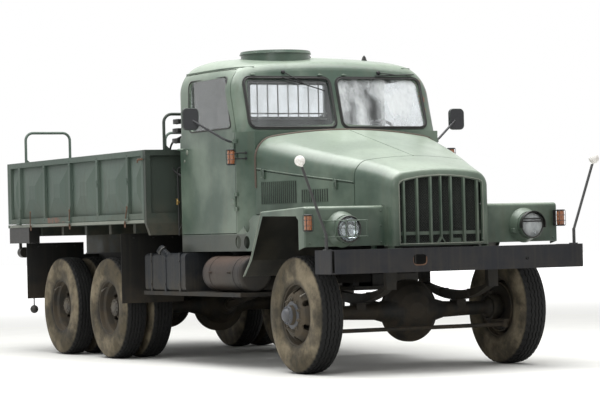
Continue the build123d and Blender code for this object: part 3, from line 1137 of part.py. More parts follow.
with BuildPart() as headlamps:
    x, y, z = HEADLAMP
    face = FENDER_X1 + FIT
    for side in (1, -1):
        with BuildSketch(Plane(origin=(face, side * y, z), x_dir=(1, 0, 0), z_dir=(0, -1, 0))) as bowl:
            with BuildLine():
                Polyline((0, 0), (0, HEADLAMP_R * 0.7), (26, HEADLAMP_R * 0.94), (70, HEADLAMP_R),
                         (LAMP_DEPTH - 24, HEADLAMP_R), (LAMP_DEPTH - 24, HEADLAMP_R - 8),
                         (LAMP_DEPTH - 12, HEADLAMP_R * 0.7), (LAMP_DEPTH - 3, HEADLAMP_R * 0.36),
                         (LAMP_DEPTH, 0), close=True)
            make_face()
        revolve(bowl.sketch, axis=Axis((FENDER_X1, side * y, z), (1, 0, 0)))
    # Visor over the left lamp, and the small bracket under its inner edge
    with BuildSketch(Plane(origin=(face + LAMP_DEPTH - 30, y, z), x_dir=(0, 1, 0), z_dir=(1, 0, 0))) as visor:
        Circle(HEADLAMP_R + VISOR_T)
        Circle(HEADLAMP_R - 1, mode=Mode.SUBTRACT)
        with Locations((0, -HEADLAMP_R)):
            Rectangle(3 * HEADLAMP_R, 2 * HEADLAMP_R - 40, mode=Mode.SUBTRACT)
    extrude(visor.sketch, amount=VISOR_OUT)
    block((face, y - 138, z - 62), (face + 60, y - 90, z - 26))
    # Cage of two loops before the right lamp
    cage_x = face + LAMP_DEPTH + 12
    for cage_z in CAGE_Z:
        for cage_y in CAGE_Y:
            rod((face, -cage_y, cage_z), (cage_x, -cage_y, cage_z), CAGE_ROD_R)
        rod((cage_x, -CAGE_Y[0] + CAGE_ROD_R, cage_z), (cage_x, -CAGE_Y[1] - CAGE_ROD_R, cage_z), CAGE_ROD_R)
    for cage_y in CAGE_Y:
        rod((cage_x, -cage_y, CAGE_Z[0] + CAGE_ROD_R), (cage_x, -cage_y, CAGE_Z[1] - CAGE_ROD_R), CAGE_ROD_R)
save(headlamps, "headlamps")


def guarded_lamp(x, y, z):
    """An upright lens between two caps, with a guard of four wires and two hoops round it."""
    rod((x, y, z - LAMP_HALF_H), (x, y, z + LAMP_HALF_H), LAMP_R)
    for end in (1, -1):
        rod((x, y, z + end * (LAMP_HALF_H - 1)), (x, y, z + end * (LAMP_HALF_H + 6)), GUARD_R)
        with Locations((x, y, z + end * LAMP_HALF_H * 0.36)):
            Cylinder(GUARD_R, 2 * GUARD_ROD_R)
            Cylinder(LAMP_R + FIT, 3 * GUARD_ROD_R, mode=Mode.SUBTRACT)
    rod((x, y, z - LAMP_HALF_H), (x, y, z + LAMP_HALF_H), LAMP_R - 1)
    wire_out = GUARD_R - 2 * GUARD_ROD_R
    for turn in (45, 135, 225, 315):
        wire_x = x + wire_out * math.cos(math.radians(turn))
        wire_y = y + wire_out * math.sin(math.radians(turn))
        rod((wire_x, wire_y, z - LAMP_HALF_H), (wire_x, wire_y, z + LAMP_HALF_H), GUARD_ROD_R)


with BuildPart() as indicator_lamps:
    for side in (1, -1):
        x, y, z = TURN_LAMP
        guarded_lamp(x, side * y, z)
        foot_y = FENDER_Y1 - FENDER_EDGE_R - 14
        for level in (LAMP_HALF_H, -LAMP_HALF_H):
            block((FENDER_X1 + FIT, side * foot_y - 12, z + level - 3), (x, side * foot_y + 12, z + level + 5))
        block((FENDER_X1 + FIT, side * foot_y - 12, z - LAMP_HALF_H),
              (FENDER_X1 + 6, side * foot_y + 12, z + LAMP_HALF_H))
        x, y, z = PILLAR_LAMP
        guarded_lamp(x, side * y, z)
        wall_y = COWL_HALF + (CAB_HALF - COWL_HALF) * (COWL_X - x + PILLAR_ARM_W) / (COWL_X - DOOR_X1 - 20)
        for level in PILLAR_ARMS_Z:
            block((x - PILLAR_ARM_W, min(side * (wall_y + FIT), side * (y - LAMP_R + 2)), z + level - 5),
                  (x + PILLAR_ARM_W, max(side * (wall_y + FIT), side * (y - LAMP_R + 2)), z + level + 5))
save(indicator_lamps, "indicator_lamps")


# Bed: floor on bearers, drop sides, headboard and tailgate
def hoop(x, side):
    """Round hand hoop standing on a wall's top rail, with bent corners and gussets at its feet."""
    y0, y1 = side * HOOP_Y0, side * HOOP_Y1
    with BuildLine() as path:
        FilletPolyline((x, y0, WALL_Z1 - HOOP_SINK), (x, y0, HOOP_Z - HOOP_R), (x, y1, HOOP_Z - HOOP_R),
                       (x, y1, WALL_Z1 - HOOP_SINK), radius=HOOP_BEND)
    with BuildSketch(Plane(origin=(x, y0, WALL_Z1 - HOOP_SINK), z_dir=(0, 0, 1))) as section:
        Circle(HOOP_R)
    sweep(section.sketch, path=path.line)
    for foot, way in ((y0, side), (y1, -side)):
        with BuildSketch(Plane.YZ.offset(x - 4)) as gusset:
            with BuildLine():
                Polyline((foot, WALL_Z1 - 2), (foot + way * HOOP_GUSSET, WALL_Z1 - 2),
                         (foot + way * HOOP_GUSSET, WALL_Z1 + 8), (foot, WALL_Z1 + HOOP_GUSSET), close=True)
            make_face()
        extrude(gusset.sketch, amount=8)


with BuildPart() as bed_floor:
    floor_x1 = HEAD_X0 - FIT
    block((TAIL_X1, -BED_HALF, FLOOR_Z0), (floor_x1, BED_HALF, FLOOR_Z1))
    for x in BEARERS_X:
        block((x - BEARER_W / 2, -BEARER_HALF, FLOOR_Z0 - BEARER_H), (x + BEARER_W / 2, BEARER_HALF, FLOOR_Z0 + 1))
    for side in (1, -1):
        block((RAIL_X0 + 20, side * (RAIL_Y - 35) - 35, RAIL_Z1 + FIT),
              (floor_x1, side * (RAIL_Y - 35) + 35, FLOOR_Z0 - 80))
        block((TAIL_HINGE_X + 4, side * (BED_HALF - 20) - 20, FLOOR_Z0),
              (TAIL_X1 + 1, side * (BED_HALF - 20) + 20, FLOOR_Z1))
    for start in (-STRAP_W / 2 - 2 - HINGE_LUG, STRAP_W / 2 + 2):
        for side in (1, -1):
            for x in POSTS_X[::2]:
                x0, x1 = x + start, x + start + HINGE_LUG
                block((x0, min(side * (BED_HALF - 1), side * SIDE_HINGE_Y), SIDE_HINGE_Z - HINGE_EYE_R),
                      (x1, max(side * (BED_HALF - 1), side * SIDE_HINGE_Y), SIDE_HINGE_Z))
                rod((x0, side * SIDE_HINGE_Y, SIDE_HINGE_Z), (x1, side * SIDE_HINGE_Y, SIDE_HINGE_Z), HINGE_EYE_R)
                rod((x0 - 1, side * SIDE_HINGE_Y, SIDE_HINGE_Z), (x1 + 1, side * SIDE_HINGE_Y, SIDE_HINGE_Z),
                    HINGE_PIN_R + FIT, Mode.SUBTRACT)
        for y in TAIL_STRAPS_Y:
            y0, y1 = y + start, y + start + HINGE_LUG
            block((TAIL_HINGE_X, y0, SIDE_HINGE_Z - HINGE_EYE_R), (TAIL_X1 + 1, y1, SIDE_HINGE_Z))
            rod((TAIL_HINGE_X, y0, SIDE_HINGE_Z), (TAIL_HINGE_X, y1, SIDE_HINGE_Z), HINGE_EYE_R)
            rod((TAIL_HINGE_X, y0 - 1, SIDE_HINGE_Z), (TAIL_HINGE_X, y1 + 1, SIDE_HINGE_Z), HINGE_PIN_R + FIT,
                Mode.SUBTRACT)
save(bed_floor, "bed_floor")


for side_name, side in SIDES:
    with BuildPart() as drop_side:
        block((BED_X0, BED_HALF - WALL_T, WALL_Z0), (BED_X1, BED_HALF - WALL_T + WALL_SKIN, WALL_Z1))
        for z0, z1 in ((WALL_Z0, WALL_Z0 + WALL_RAIL_H), (WALL_Z1 - WALL_RAIL_H, WALL_Z1)):
            block((BED_X0, BED_HALF - WALL_T, z0), (BED_X1, BED_HALF, z1))
        ends = (BED_X0 + POST_W / 2,) + POSTS_X + (BED_X1 - POST_W / 2,)
        for x in ends:
            block((x - POST_W / 2, BED_HALF - WALL_T, WALL_Z0), (x + POST_W / 2, BED_HALF, WALL_Z1))
        for x0, x1 in zip(ends[:-1], ends[1:]):
            width, mid = x1 - x0 - POST_W, (x0 + x1) / 2
            rise = WALL_Z1 - WALL_Z0 - 2 * WALL_RAIL_H
            face_y = BED_HALF - WALL_T + WALL_SKIN
            with BuildSketch(Plane.XZ.offset(-face_y)):
                with Locations((mid, (WALL_Z0 + WALL_Z1) / 2)):
                    Rectangle(width, rise)
            with BuildSketch(Plane.XZ.offset(-face_y - PRESSING)):
                with Locations((mid, (WALL_Z0 + WALL_Z1) / 2)):
                    Rectangle(width * PRESSING_W, rise * PRESSING_H)
            loft(ruled=True)
        for x in POSTS_X[::2]:
            block((x - STRAP_W / 2, BED_HALF - 4, WALL_Z0 + 8), (x + STRAP_W / 2, BED_HALF + 8, WALL_Z0 + 150))
            rod((x - STRAP_W / 2, SIDE_HINGE_Y, SIDE_HINGE_Z), (x + STRAP_W / 2, SIDE_HINGE_Y, SIDE_HINGE_Z),
                HINGE_EYE_R)
            pin_half = STRAP_W / 2 + 20
            rod((x - pin_half, SIDE_HINGE_Y, SIDE_HINGE_Z), (x + pin_half, SIDE_HINGE_Y, SIDE_HINGE_Z), HINGE_PIN_R)
            block((x - STRAP_W / 2, BED_HALF + 1, SIDE_HINGE_Z), (x + STRAP_W / 2, BED_HALF + 8, WALL_Z0 + 20))
        if side < 0:
            mirror(about=Plane.XZ, mode=Mode.REPLACE)
    save(drop_side, f"drop_side_{side_name}")

with BuildPart() as tailgate:
    block((TAIL_X1 - WALL_SKIN, -BED_HALF, WALL_Z0), (TAIL_X1, BED_HALF, WALL_Z1))
    for z0, z1 in ((WALL_Z0, WALL_Z0 + WALL_RAIL_H), (WALL_Z1 - WALL_RAIL_H, WALL_Z1)):
        block((TAIL_X1 - WALL_T, -BED_HALF, z0), (TAIL_X1, BED_HALF, z1))
    for y in TAIL_POSTS_Y:
        block((TAIL_X1 - WALL_T, y - POST_W / 2, WALL_Z0), (TAIL_X1, y + POST_W / 2, WALL_Z1))
    for side in (1, -1):
        hoop(TAIL_X1 - WALL_T / 2, side)
    for y in TAIL_STRAPS_Y:
        for reach, radius in ((STRAP_W / 2, HINGE_EYE_R), (STRAP_W / 2 + 20, HINGE_PIN_R)):
            rod((TAIL_HINGE_X, y - reach, SIDE_HINGE_Z), (TAIL_HINGE_X, y + reach, SIDE_HINGE_Z), radius)
        block((TAIL_HINGE_X, y - STRAP_W / 2, SIDE_HINGE_Z),
              (TAIL_X1 - WALL_T + 1, y + STRAP_W / 2, WALL_Z0 + 150))
save(tailgate, "tailgate")

with BuildPart() as headboard:
    for x1, top_z in ((HEAD_X1, WALL_Z0 + WALL_RAIL_H), (HEAD_X0 + WALL_SKIN, WALL_Z1)):
        with BuildSketch(Plane.YZ.offset(HEAD_X0)) as sheet:
            with BuildLine():
                Polyline((-BED_HALF, top_z), (-BED_HALF, FLOOR_Z0), (-BED_HALF + SILL_SLANT, SILL_Z0),
                         (BED_HALF - SILL_SLANT, SILL_Z0), (BED_HALF, FLOOR_Z0), (BED_HALF, top_z), close=True)
            make_face()
        extrude(sheet.sketch, amount=x1 - HEAD_X0)
    block((HEAD_X0, -BED_HALF, WALL_Z1 - WALL_RAIL_H), (HEAD_X1, BED_HALF, WALL_Z1))
    for y in TAIL_POSTS_Y:
        block((HEAD_X0, y - POST_W / 2, WALL_Z0), (HEAD_X1, y + POST_W / 2, WALL_Z1))
    for side in (1, -1):
        hoop((HEAD_X0 + HEAD_X1) / 2, side)
save(headboard, "headboard")

# Tail lamps, boxes and mud flaps
with BuildPart() as tail_lamps:
    for side in (1, -1):
        x0, x1 = TAIL_BOX_X
        block((x0, min(side * (BEARER_HALF + FIT), side * TAIL_BOX_Y1), TAIL_BOX_Z0),
              (x1, max(side * (BEARER_HALF + FIT), side * TAIL_BOX_Y1), FLOOR_Z0 - FIT))
        x, y, z = TAIL_LAMP
        rod((x, side * y, z), (x + TAIL_LAMP_DEPTH, side * y, z), TAIL_LAMP_R)
        block((x + 30, side * (y + 34) - 12, z), (x + 60, side * (y + 34) + 12, TAIL_BOX_Z0 + 1))
save(tail_lamps, "tail_lamps")

with BuildPart() as mud_guards:
    for x, z0, z1 in GUARDS:
        for side in (1, -1):
            y0, y1 = GUARD_Y
            block((x, min(side * y0, side * y1), z0), (x + GUARD_T, max(side * y0, side * y1), z1))
            block((x, min(side * (RAIL_Y + FIT), side * (y0 + 10)), GUARD_ARM_Z0),
                  (x + GUARD_T, max(side * (RAIL_Y + FIT), side * (y0 + 10)), RAIL_Z1 - 10))
save(mud_guards, "mud_guards")
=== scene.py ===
"""Looks of the three-axle cargo truck: worn green paint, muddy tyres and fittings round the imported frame.

All lengths are metres in the row's frame: +X forward, +Y to the vehicle's left, +Z up.
"""
import json
import math

import bmesh
import bpy
import numpy as np
from mathutils import Matrix, Vector
from mathutils.bvhtree import BVHTree


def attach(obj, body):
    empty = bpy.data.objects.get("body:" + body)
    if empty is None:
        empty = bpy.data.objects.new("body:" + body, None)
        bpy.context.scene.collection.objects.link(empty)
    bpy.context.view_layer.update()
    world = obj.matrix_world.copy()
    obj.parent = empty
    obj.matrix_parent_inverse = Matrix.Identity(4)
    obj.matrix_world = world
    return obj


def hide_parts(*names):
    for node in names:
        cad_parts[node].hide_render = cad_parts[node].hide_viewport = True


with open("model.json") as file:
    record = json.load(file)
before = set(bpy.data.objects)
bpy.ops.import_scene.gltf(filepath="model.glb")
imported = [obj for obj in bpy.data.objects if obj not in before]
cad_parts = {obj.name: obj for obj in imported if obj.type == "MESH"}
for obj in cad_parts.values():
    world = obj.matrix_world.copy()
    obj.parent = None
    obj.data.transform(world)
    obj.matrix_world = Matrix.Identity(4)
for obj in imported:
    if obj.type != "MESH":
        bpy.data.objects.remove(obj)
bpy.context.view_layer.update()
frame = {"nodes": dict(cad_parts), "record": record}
nodes = frame["nodes"]

# The photograph's camera
IMAGE_W = 600
CAMERA_AT = (20.344, -9.910, 1.142)
CAMERA_AZIMUTH = math.radians(26.803)
CAMERA_RISE = math.radians(0.715)
CAMERA_ROLL = math.radians(-1.375)
FOCAL_PIXELS = 2410.9
SENSOR_W = 36.0

# Places the pieces share with the frame
X, Y, Z = np.eye(3)
HUB_Z = 0.485
FRONT_X = 2.70
TWIN_X = {"mid": -1.10, "rear": -2.35}
FRONT_TRACK_Y = 0.9625
TWIN_OUTER_Y = 1.0585
TWIN_PITCH = 0.270
TYRE_R = 0.485
SIDES = (("left", 1), ("right", -1))


# Shapes: every part is (points, faces), points worked out as whole arrays
def unit(vector):
    """The vector at length one."""
    vector = np.asarray(vector, float)
    return vector / np.linalg.norm(vector)


def across(direction):
    """Two unit vectors square to a direction and to each other: u = w x Z and v = w x u."""
    w = unit(direction)
    u = unit(np.cross(w, Z if abs(w[2]) < 0.9 else X))
    return u, np.cross(w, u)


def grid_faces(rows, cols, wrap_rows=False, wrap_cols=False):
    """Quads (r, c), (r, c + 1), (r + 1, c + 1), (r + 1, c); a wrapped direction meets its own start."""
    row_count = rows if wrap_rows else rows - 1
    col_count = cols if wrap_cols else cols - 1
    r, c = np.meshgrid(np.arange(row_count), np.arange(col_count), indexing="ij")
    r2, c2 = (r + 1) % rows, (c + 1) % cols
    quads = np.stack([r * cols + c, r * cols + c2, r2 * cols + c2, r2 * cols + c], -1)
    return quads.reshape(-1, 4).tolist()


def rings(points, closed=False):
    """A shell from stacked rings of points; the two end rings become faces unless the stack is closed."""
    rows, cols = points.shape[:2]
    faces = grid_faces(rows, cols, closed, True)
    if not closed:
        faces += [list(range(cols))[::-1], list(range((rows - 1) * cols, rows * cols))]
    return points.reshape(-1, 3), faces


def lathe(profile, at, axis, segments=32):
    """A profile of (a, r) turned about the axis: at + a * axis + r * (cos t * u + sin t * v)."""
    profile = np.asarray(profile, float)
    u, v = across(axis)
    t = np.linspace(0, 2 * math.pi, segments, endpoint=False)
    circle = np.cos(t)[:, None] * u + np.sin(t)[:, None] * v
    points = np.asarray(at, float) + profile[:, :1, None] * unit(axis) + profile[:, 1:, None] * circle
    return rings(points)


def tube(path, radius, sides=10, closed=False):
    """A circle carried along a path: path + radius * (cos t * u + sin t * ahead x u).

    From point to point u is turned as little as possible: its part along the path is taken off.
    """
    path = np.asarray(path, float)
    ahead = np.roll(path, -1, 0) - np.roll(path, 1, 0)
    if not closed:
        ahead[0], ahead[-1] = path[1] - path[0], path[-1] - path[-2]
    ahead = ahead / np.linalg.norm(ahead, axis=1, keepdims=True)
    u = across(ahead[0])[0]
    frames = []
    for step in ahead:
        u = unit(u - step * (u @ step))
        frames.append(u)
    frames = np.array(frames)
    t = np.linspace(0, 2 * math.pi, sides, endpoint=False)
    beside = np.cross(ahead, frames)
    ring = np.cos(t)[None, :, None] * frames[:, None] + np.sin(t)[None, :, None] * beside[:, None]
    radius = np.broadcast_to(np.asarray(radius, float), (len(path),))
    return rings(path[:, None] + radius[:, None, None] * ring, closed)


def bend(points, radius, steps=5):
    """A path whose corners are rounded: (1 - t)^2 * a + 2 t (1 - t) * corner + t^2 * b."""
    points = [np.asarray(p, float) for p in points]
    out = [points[0]]
    for before, corner, after in zip(points[:-2], points[1:-1], points[2:]):
        back, on = before - corner, after - corner
        reach = min(radius, np.linalg.norm(back) * 0.49, np.linalg.norm(on) * 0.49)
        a, b = corner + unit(back) * reach, corner + unit(on) * reach
        t = np.linspace(0, 1, steps)[:, None]
        out.extend((1 - t) ** 2 * a + 2 * t * (1 - t) * corner + t ** 2 * b)
    return np.array(out + [points[-1]])


def round_rect(width, height, radius, steps=5):
    """Outline of a rectangle: a quarter circle of the radius about each corner's centre, as 2-D points."""
    t = np.linspace(0, math.pi / 2, steps)
    corners = []
    for k, (sx, sy) in enumerate(((1, 1), (-1, 1), (-1, -1), (1, -1))):
        centre = np.array([sx * (width / 2 - radius), sy * (height / 2 - radius)])
        turn = t + k * math.pi / 2
        corners.append(centre + radius * np.stack([np.cos(turn), np.sin(turn)], -1))
    return np.concatenate(corners)


def inset(outline, amount):
    """The outline moved in by amount along the mitre of its neighbouring edges."""
    ahead, back = np.roll(outline, -1, 0) - outline, outline - np.roll(outline, 1, 0)
    normal = []
    for edge in (ahead, back):
        length = np.linalg.norm(edge, axis=1, keepdims=True)
        normal.append(np.stack([-edge[:, 1], edge[:, 0]], -1) / np.maximum(length, 1e-9))
    mitre = normal[0] + normal[1]
    mitre = mitre / np.maximum((mitre ** 2).sum(1, keepdims=True) / 2, 0.3)
    return outline + mitre * amount


def plate(outline, thick, at, u, v, soft=0.002):
    """An outline at + o_x * u + o_y * v, thick along u x v, with both rims softened by a small step in."""
    outline = np.asarray(outline, float)
    ox, oy = outline.T
    area = np.sum(ox * np.roll(oy, -1) - oy * np.roll(ox, -1))
    outline = outline if area > 0 else outline[::-1]
    u, v = unit(u), unit(v)
    w = np.cross(u, v)
    soft = min(soft, thick / 2.5)
    small = inset(outline, soft)
    layers = [(small, 0), (outline, soft), (outline, thick - soft), (small, thick)]
    points = np.array([np.asarray(at) + o[:, :1] * u + o[:, 1:] * v + h * w for o, h in layers])
    return rings(points)


def slab(low, high, soft=0.003):
    """A block between two corners with softened rims."""
    low, high = np.asarray(low, float), np.asarray(high, float)
    size = high - low
    outline = round_rect(size[0], size[1], min(soft * 1.5, size[0] / 3, size[1] / 3), 3)
    foot = (low + high) * [0.5, 0.5, 0] + [0, 0, low[2]]
    return plate(outline, size[2], foot, X, Y, soft)


def bolt(at, axis, radius, height):
    """A hexagon head: radius(h) is even for three quarters of its height, then 0.8 of it at the top."""
    profile = [(0, radius), (height * 0.75, radius), (height, radius * 0.8)]
    return lathe(profile, at, axis, 6)


def nut_on_stud(at, axis, radius, height):
    """A hexagon nut, and its stud at half its radius that stands out by 0.6 of its height."""
    return [lathe([(0, radius), (height * 0.8, radius), (height, radius * 0.8)], at, axis, 6),
            lathe([(height * 0.9, radius * 0.5), (height * 1.5, radius * 0.5), (height * 1.6, radius * 0.35)],
                  at, axis, 8)]


def ball(at, radius, gap, rows, segments):
    """A ball: (r sin t, r cos t) turned about Z; short of the poles by gap, small faces close it."""
    t = np.linspace(-math.pi / 2 + gap, math.pi / 2 - gap, rows)
    return lathe(np.stack([radius * np.sin(t), radius * np.cos(t)], -1), at, Z, segments)


def side_word(side):
    """The word that the frame's names use for a side."""
    return "left" if side > 0 else "right"


def signed_power(value, k):
    """|value| to the power k with the sign of value."""
    return np.sign(value) * abs(value) ** k


def piece(name, parts, body, material, replaces=(), sharp=32):
    """One mesh object from parts, riding on a body; edges sharper than sharp degrees stay crisp."""
    points, faces, count = [], [], 0
    for part_points, part_faces in parts:
        points.append(part_points)
        faces += [[i + count for i in face] for face in part_faces]
        count += len(part_points)
    mesh = bpy.data.meshes.new(name)
    mesh.from_pydata(np.concatenate(points), [], faces)
    shell = bmesh.new()
    shell.from_mesh(mesh)
    bmesh.ops.recalc_face_normals(shell, faces=shell.faces)
    shell.to_mesh(mesh)
    shell.free()
    mesh.shade_smooth()
    mesh.set_sharp_from_angle(angle=math.radians(sharp))
    made = bpy.data.objects.new(name, mesh)
    bpy.context.scene.collection.objects.link(made)
    mesh.materials.append(MATERIALS[material])
    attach(made, body)
    if replaces:
        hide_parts(*replaces)
    return made


# Shader building
def srgb(red, green, blue):
    """A colour given as 0 to 255 screen values, in linear light."""
    values = np.array([red, green, blue]) / 255
    linear = np.where(values <= 0.04045, values / 12.92, ((values + 0.055) / 1.055) ** 2.4)
    return (*[float(x) for x in linear], 1.0)


class Shader:
    """Adds nodes to a tree and joins them."""

    def __init__(self, tree):
        """Works on one node tree."""
        self.tree = tree

    def add(self, kind, values=(), **settings):
        """One node; values maps an input's name or number to a socket or a constant."""
        node = self.tree.nodes.new("ShaderNode" + kind)
        for key, value in settings.items():
            setattr(node, key, value)
        for key, value in dict(values).items():
            if isinstance(value, bpy.types.NodeSocket):
                self.tree.links.new(value, node.inputs[key])
            else:
                node.inputs[key].default_value = value
        return node

    def math(self, operation, a, b=0.0, clamp=False):
        """The sum, product or other operation of two values."""
        return self.add("Math", {0: a, 1: b}, operation=operation, use_clamp=clamp).outputs[0]

    def mix(self, factor, a, b):
        """Colour a at factor 0, colour b at factor 1."""
        node = self.add("Mix", {0: factor, 6: a, 7: b}, data_type="RGBA", blend_type="MIX")
        return node.outputs[2]

    def times(self, first, *others):
        """The product of two or more values."""
        for other in others:
            first = self.math("MULTIPLY", first, other)
        return first

    def below(self, value, low, high):
        """1 below low, 0 above high, smooth between."""
        return self.math("SUBTRACT", 1.0, self.ramp(value, low, high))

    def axes(self, output="Object"):
        """The three parts of a point's object coordinates, or of its normal."""
        return self.add("SeparateXYZ", {0: self.add("TexCoord").outputs[output]}).outputs

    def ramp(self, value, low, high):
        """0 below low, 1 above high, smooth between."""
        node = self.add("MapRange", {"Value": value, "From Min": low, "From Max": high},
                        interpolation_type="SMOOTHSTEP")
        return node.outputs["Result"]

    def place(self, scale=(1, 1, 1)):
        """Object coordinates, stretched."""
        coords = self.add("TexCoord").outputs["Object"]
        return self.add("Mapping", {"Vector": coords, "Scale": scale}).outputs[0]

    def noise(self, scale, detail=4.0, rough=0.55, vector=None):
        """Cloudy values round 0.5, on object coordinates unless a vector is given."""
        values = {"Vector": vector or self.add("TexCoord").outputs["Object"], "Scale": scale,
                  "Detail": detail, "Roughness": rough}
        return self.add("TexNoise", values).outputs[0]


def group(name, inputs, outputs, build):
    """A node group with named sockets; build gets the shader and its inputs and returns the outputs."""
    tree = bpy.data.node_groups.new(name, "ShaderNodeTree")
    for label, kind, value in inputs:
        socket = tree.interface.new_socket(label, in_out="INPUT", socket_type=f"NodeSocket{kind}")
        socket.default_value = value
    for label, kind in outputs:
        tree.interface.new_socket(label, in_out="OUTPUT", socket_type=f"NodeSocket{kind}")
    shader = Shader(tree)
    source = tree.nodes.new("NodeGroupInput")
    results = build(shader, source.outputs)
    sink = tree.nodes.new("NodeGroupOutput")
    for label, value in results.items():
        tree.links.new(value, sink.inputs[label])
    return tree


GREY = (0.5, 0.5, 0.5, 1)


def build_fade_and_top_light(s, given):
    """Broad fading, fine mottle and vertical run marks; faces that look up also get painted top light, a
    lighter colour that stands in for light from above.
    """
    broad = s.ramp(s.noise(1.3, 5), 0.38, 0.66)
    fine = s.noise(38, 6, 0.7)
    runs = s.ramp(s.noise(1, 5, 0.6, s.place((22, 22, 1.1))), 0.47, 0.72)
    # Painted top light: faces that look up are mixed toward the lighter colour, a painted highlight from the
    # sky
    up = s.ramp(s.axes("Normal")[2], 0.25, 0.95)
    amount = s.times(given["Fade"], s.math("ADD", s.times(broad, 0.45), s.times(up, 0.75)))
    colour = s.mix(s.math("MULTIPLY", amount, 1.0, True), given["Paint"], given["Fading and top light colour"])
    colour = s.mix(s.times(runs, given["Runs"]), colour, given["Run colour"])
    shade = s.add("HueSaturation", {"Color": colour, "Value": s.math("ADD", 0.90, s.times(fine, 0.2))})
    rough = s.math("ADD", given["Roughness"], s.times(s.math("SUBTRACT", fine, 0.5), 0.25))
    return {"Color": shade.outputs[0], "Roughness": rough, "Height": fine}


# Fading of the paint together with painted top light on faces that look up
FADE_AND_TOP_LIGHT = group(
    "Fading paint and painted top light",
    [("Paint", "Color", GREY), ("Fading and top light colour", "Color", GREY), ("Fade", "Float", 0.5), ("Runs", "Float", 0.2),
     ("Run colour", "Color", GREY), ("Roughness", "Float", 0.5)],
    [("Color", "Color"), ("Roughness", "Float"), ("Height", "Float")], build_fade_and_top_light)


def build_road_dust(s, given):
    """Dried mud that thins out between two heights, broken up by noise."""
    heights = {"Value": s.axes()[2], "From Min": given["From height"], "From Max": given["To height"]}
    low = s.math("SUBTRACT", 1.0, s.add("MapRange", heights).outputs[0])
    cloud = s.ramp(s.noise(given["Scale"], 7, 0.65), 0.36, 0.62)
    mask = s.math("MULTIPLY", s.times(low, cloud), given["Amount"], True)
    return {"Color": s.mix(mask, given["Color"], given["Dust"]), "Mask": mask}


ROAD_DUST = group(
    "Road dust",
    [("Color", "Color", GREY), ("Dust", "Color", srgb(128, 112, 90)), ("From height", "Float", 0.3),
     ("To height", "Float", 1.4), ("Scale", "Float", 5.0), ("Amount", "Float", 0.6)],
    [("Color", "Color"), ("Mask", "Float")], build_road_dust)


def build_rust_chips(s, given):
    """Small chips and blooms of rust where two noises meet."""
    large = s.noise(given["Scale"], 6, 0.7)
    small = s.noise(s.times(given["Scale"], 7.0), 4, 0.7)
    field = s.math("ADD", s.times(large, 0.6), s.times(small, 0.4))
    edge = s.math("SUBTRACT", 0.74, s.times(given["Amount"], 0.22))
    mask = s.ramp(field, edge, s.math("ADD", edge, 0.035))
    tone = s.mix(small, given["Rust"], given["Dark rust"])
    return {"Color": s.mix(mask, given["Color"], tone), "Mask": mask}


RUST_CHIPS = group(
    "Rust chips",
    [("Color", "Color", GREY), ("Rust", "Color", srgb(124, 78, 52)), ("Dark rust", "Color", srgb(62, 44, 34)),
     ("Scale", "Float", 4.0), ("Amount", "Float", 0.3)],
    [("Color", "Color"), ("Mask", "Float")], build_rust_chips)

MATERIALS = {}


def material(name):
    """An empty node material and its shader helper."""
    made = bpy.data.materials.new(name)
    made.use_nodes = True
    made.node_tree.nodes.clear()
    MATERIALS[name] = made
    return Shader(made.node_tree)


def surface(s, colour, roughness, height, bump, **constants):
    """The Principled shader, its bump and the output."""
    relief = s.add("Bump", {"Height": height, "Distance": bump, "Strength": 0.35}).outputs[0]
    shader = s.add("BsdfPrincipled", {"Base Color": colour, "Roughness": roughness, "Normal": relief})
    for socket, value in constants.items():
        shader.inputs[socket.replace("_", " ")].default_value = value
    s.add("OutputMaterial", {"Surface": shader.outputs[0]})
    return shader


def use(s, tree, values):
    """A node group placed in a material."""
    return s.add("Group", values, node_tree=tree)


def painted(name, paint, faded_and_lit, fade_and_top_light=0.5, runs=0.15, run_colour=(84, 78, 62), roughness=0.42, dust=0.6,
            dust_from=0.3, dust_to=1.5, rust=0.25, rust_scale=4.0, dust_colour=(88, 80, 66), patches_and_shade=None,
            **constants):
    """Weathered enamel: fading paint with painted top light, an optional patch step (primer and painted
    shade), rust chips, then road dust over both.
    """
    s = material(name)
    base = use(s, FADE_AND_TOP_LIGHT, {})
    values = {"Paint": srgb(*paint), "Fading and top light colour": srgb(*faded_and_lit), "Fade": fade_and_top_light, "Runs": runs,
              "Run colour": srgb(*run_colour), "Roughness": roughness}
    for label, value in values.items():
        base.inputs[label].default_value = value
    colour = base.outputs["Color"]
    # The patch step adds primer and painted shade
    if patches_and_shade:
        colour = patches_and_shade(s, colour)
    chips = use(s, RUST_CHIPS, {"Color": colour, "Scale": rust_scale, "Amount": rust})
    dirt = use(s, ROAD_DUST, {"Color": chips.outputs["Color"], "Dust": srgb(*dust_colour),
                              "From height": dust_from, "To height": dust_to, "Amount": dust})
    dull = s.math("MAXIMUM", chips.outputs["Mask"], dirt.outputs["Mask"])
    rough = s.math("ADD", base.outputs["Roughness"], s.math("MULTIPLY", dull, 0.4), True)
    height = s.math("SUBTRACT", s.times(base.outputs["Height"], 0.5), chips.outputs["Mask"])
    surface(s, dirt.outputs["Color"], rough, height, 0.0012, **constants)


def primer_and_painted_shade(s, colour):
    """Reddish primer on a stretch of the lower rail; painted shade on the headboard's front and under the
    floor.
    """
    x, y, z = s.axes()
    near = s.times(s.below(z, 1.37, 1.44), s.times(s.ramp(x, -2.45, -2.40), s.below(x, -1.98, -1.90)))
    spots = s.ramp(s.noise(9, 5, 0.7), 0.42, 0.52)
    # Painted shade: the headboard's forward face and everything below the floor are darkened
    headboard_shade = s.times(s.ramp(x, 0.042, 0.050), 0.75)
    shade = s.math("MAXIMUM", headboard_shade, s.times(s.below(z, 1.276, 1.282), 0.9))
    colour = s.mix(shade, colour, srgb(38, 42, 37))
    near = s.times(near, s.ramp(s.math("ABSOLUTE", y), 1.240, 1.248))
    return s.mix(s.times(near, spots, 0.75), colour, srgb(120, 76, 62))


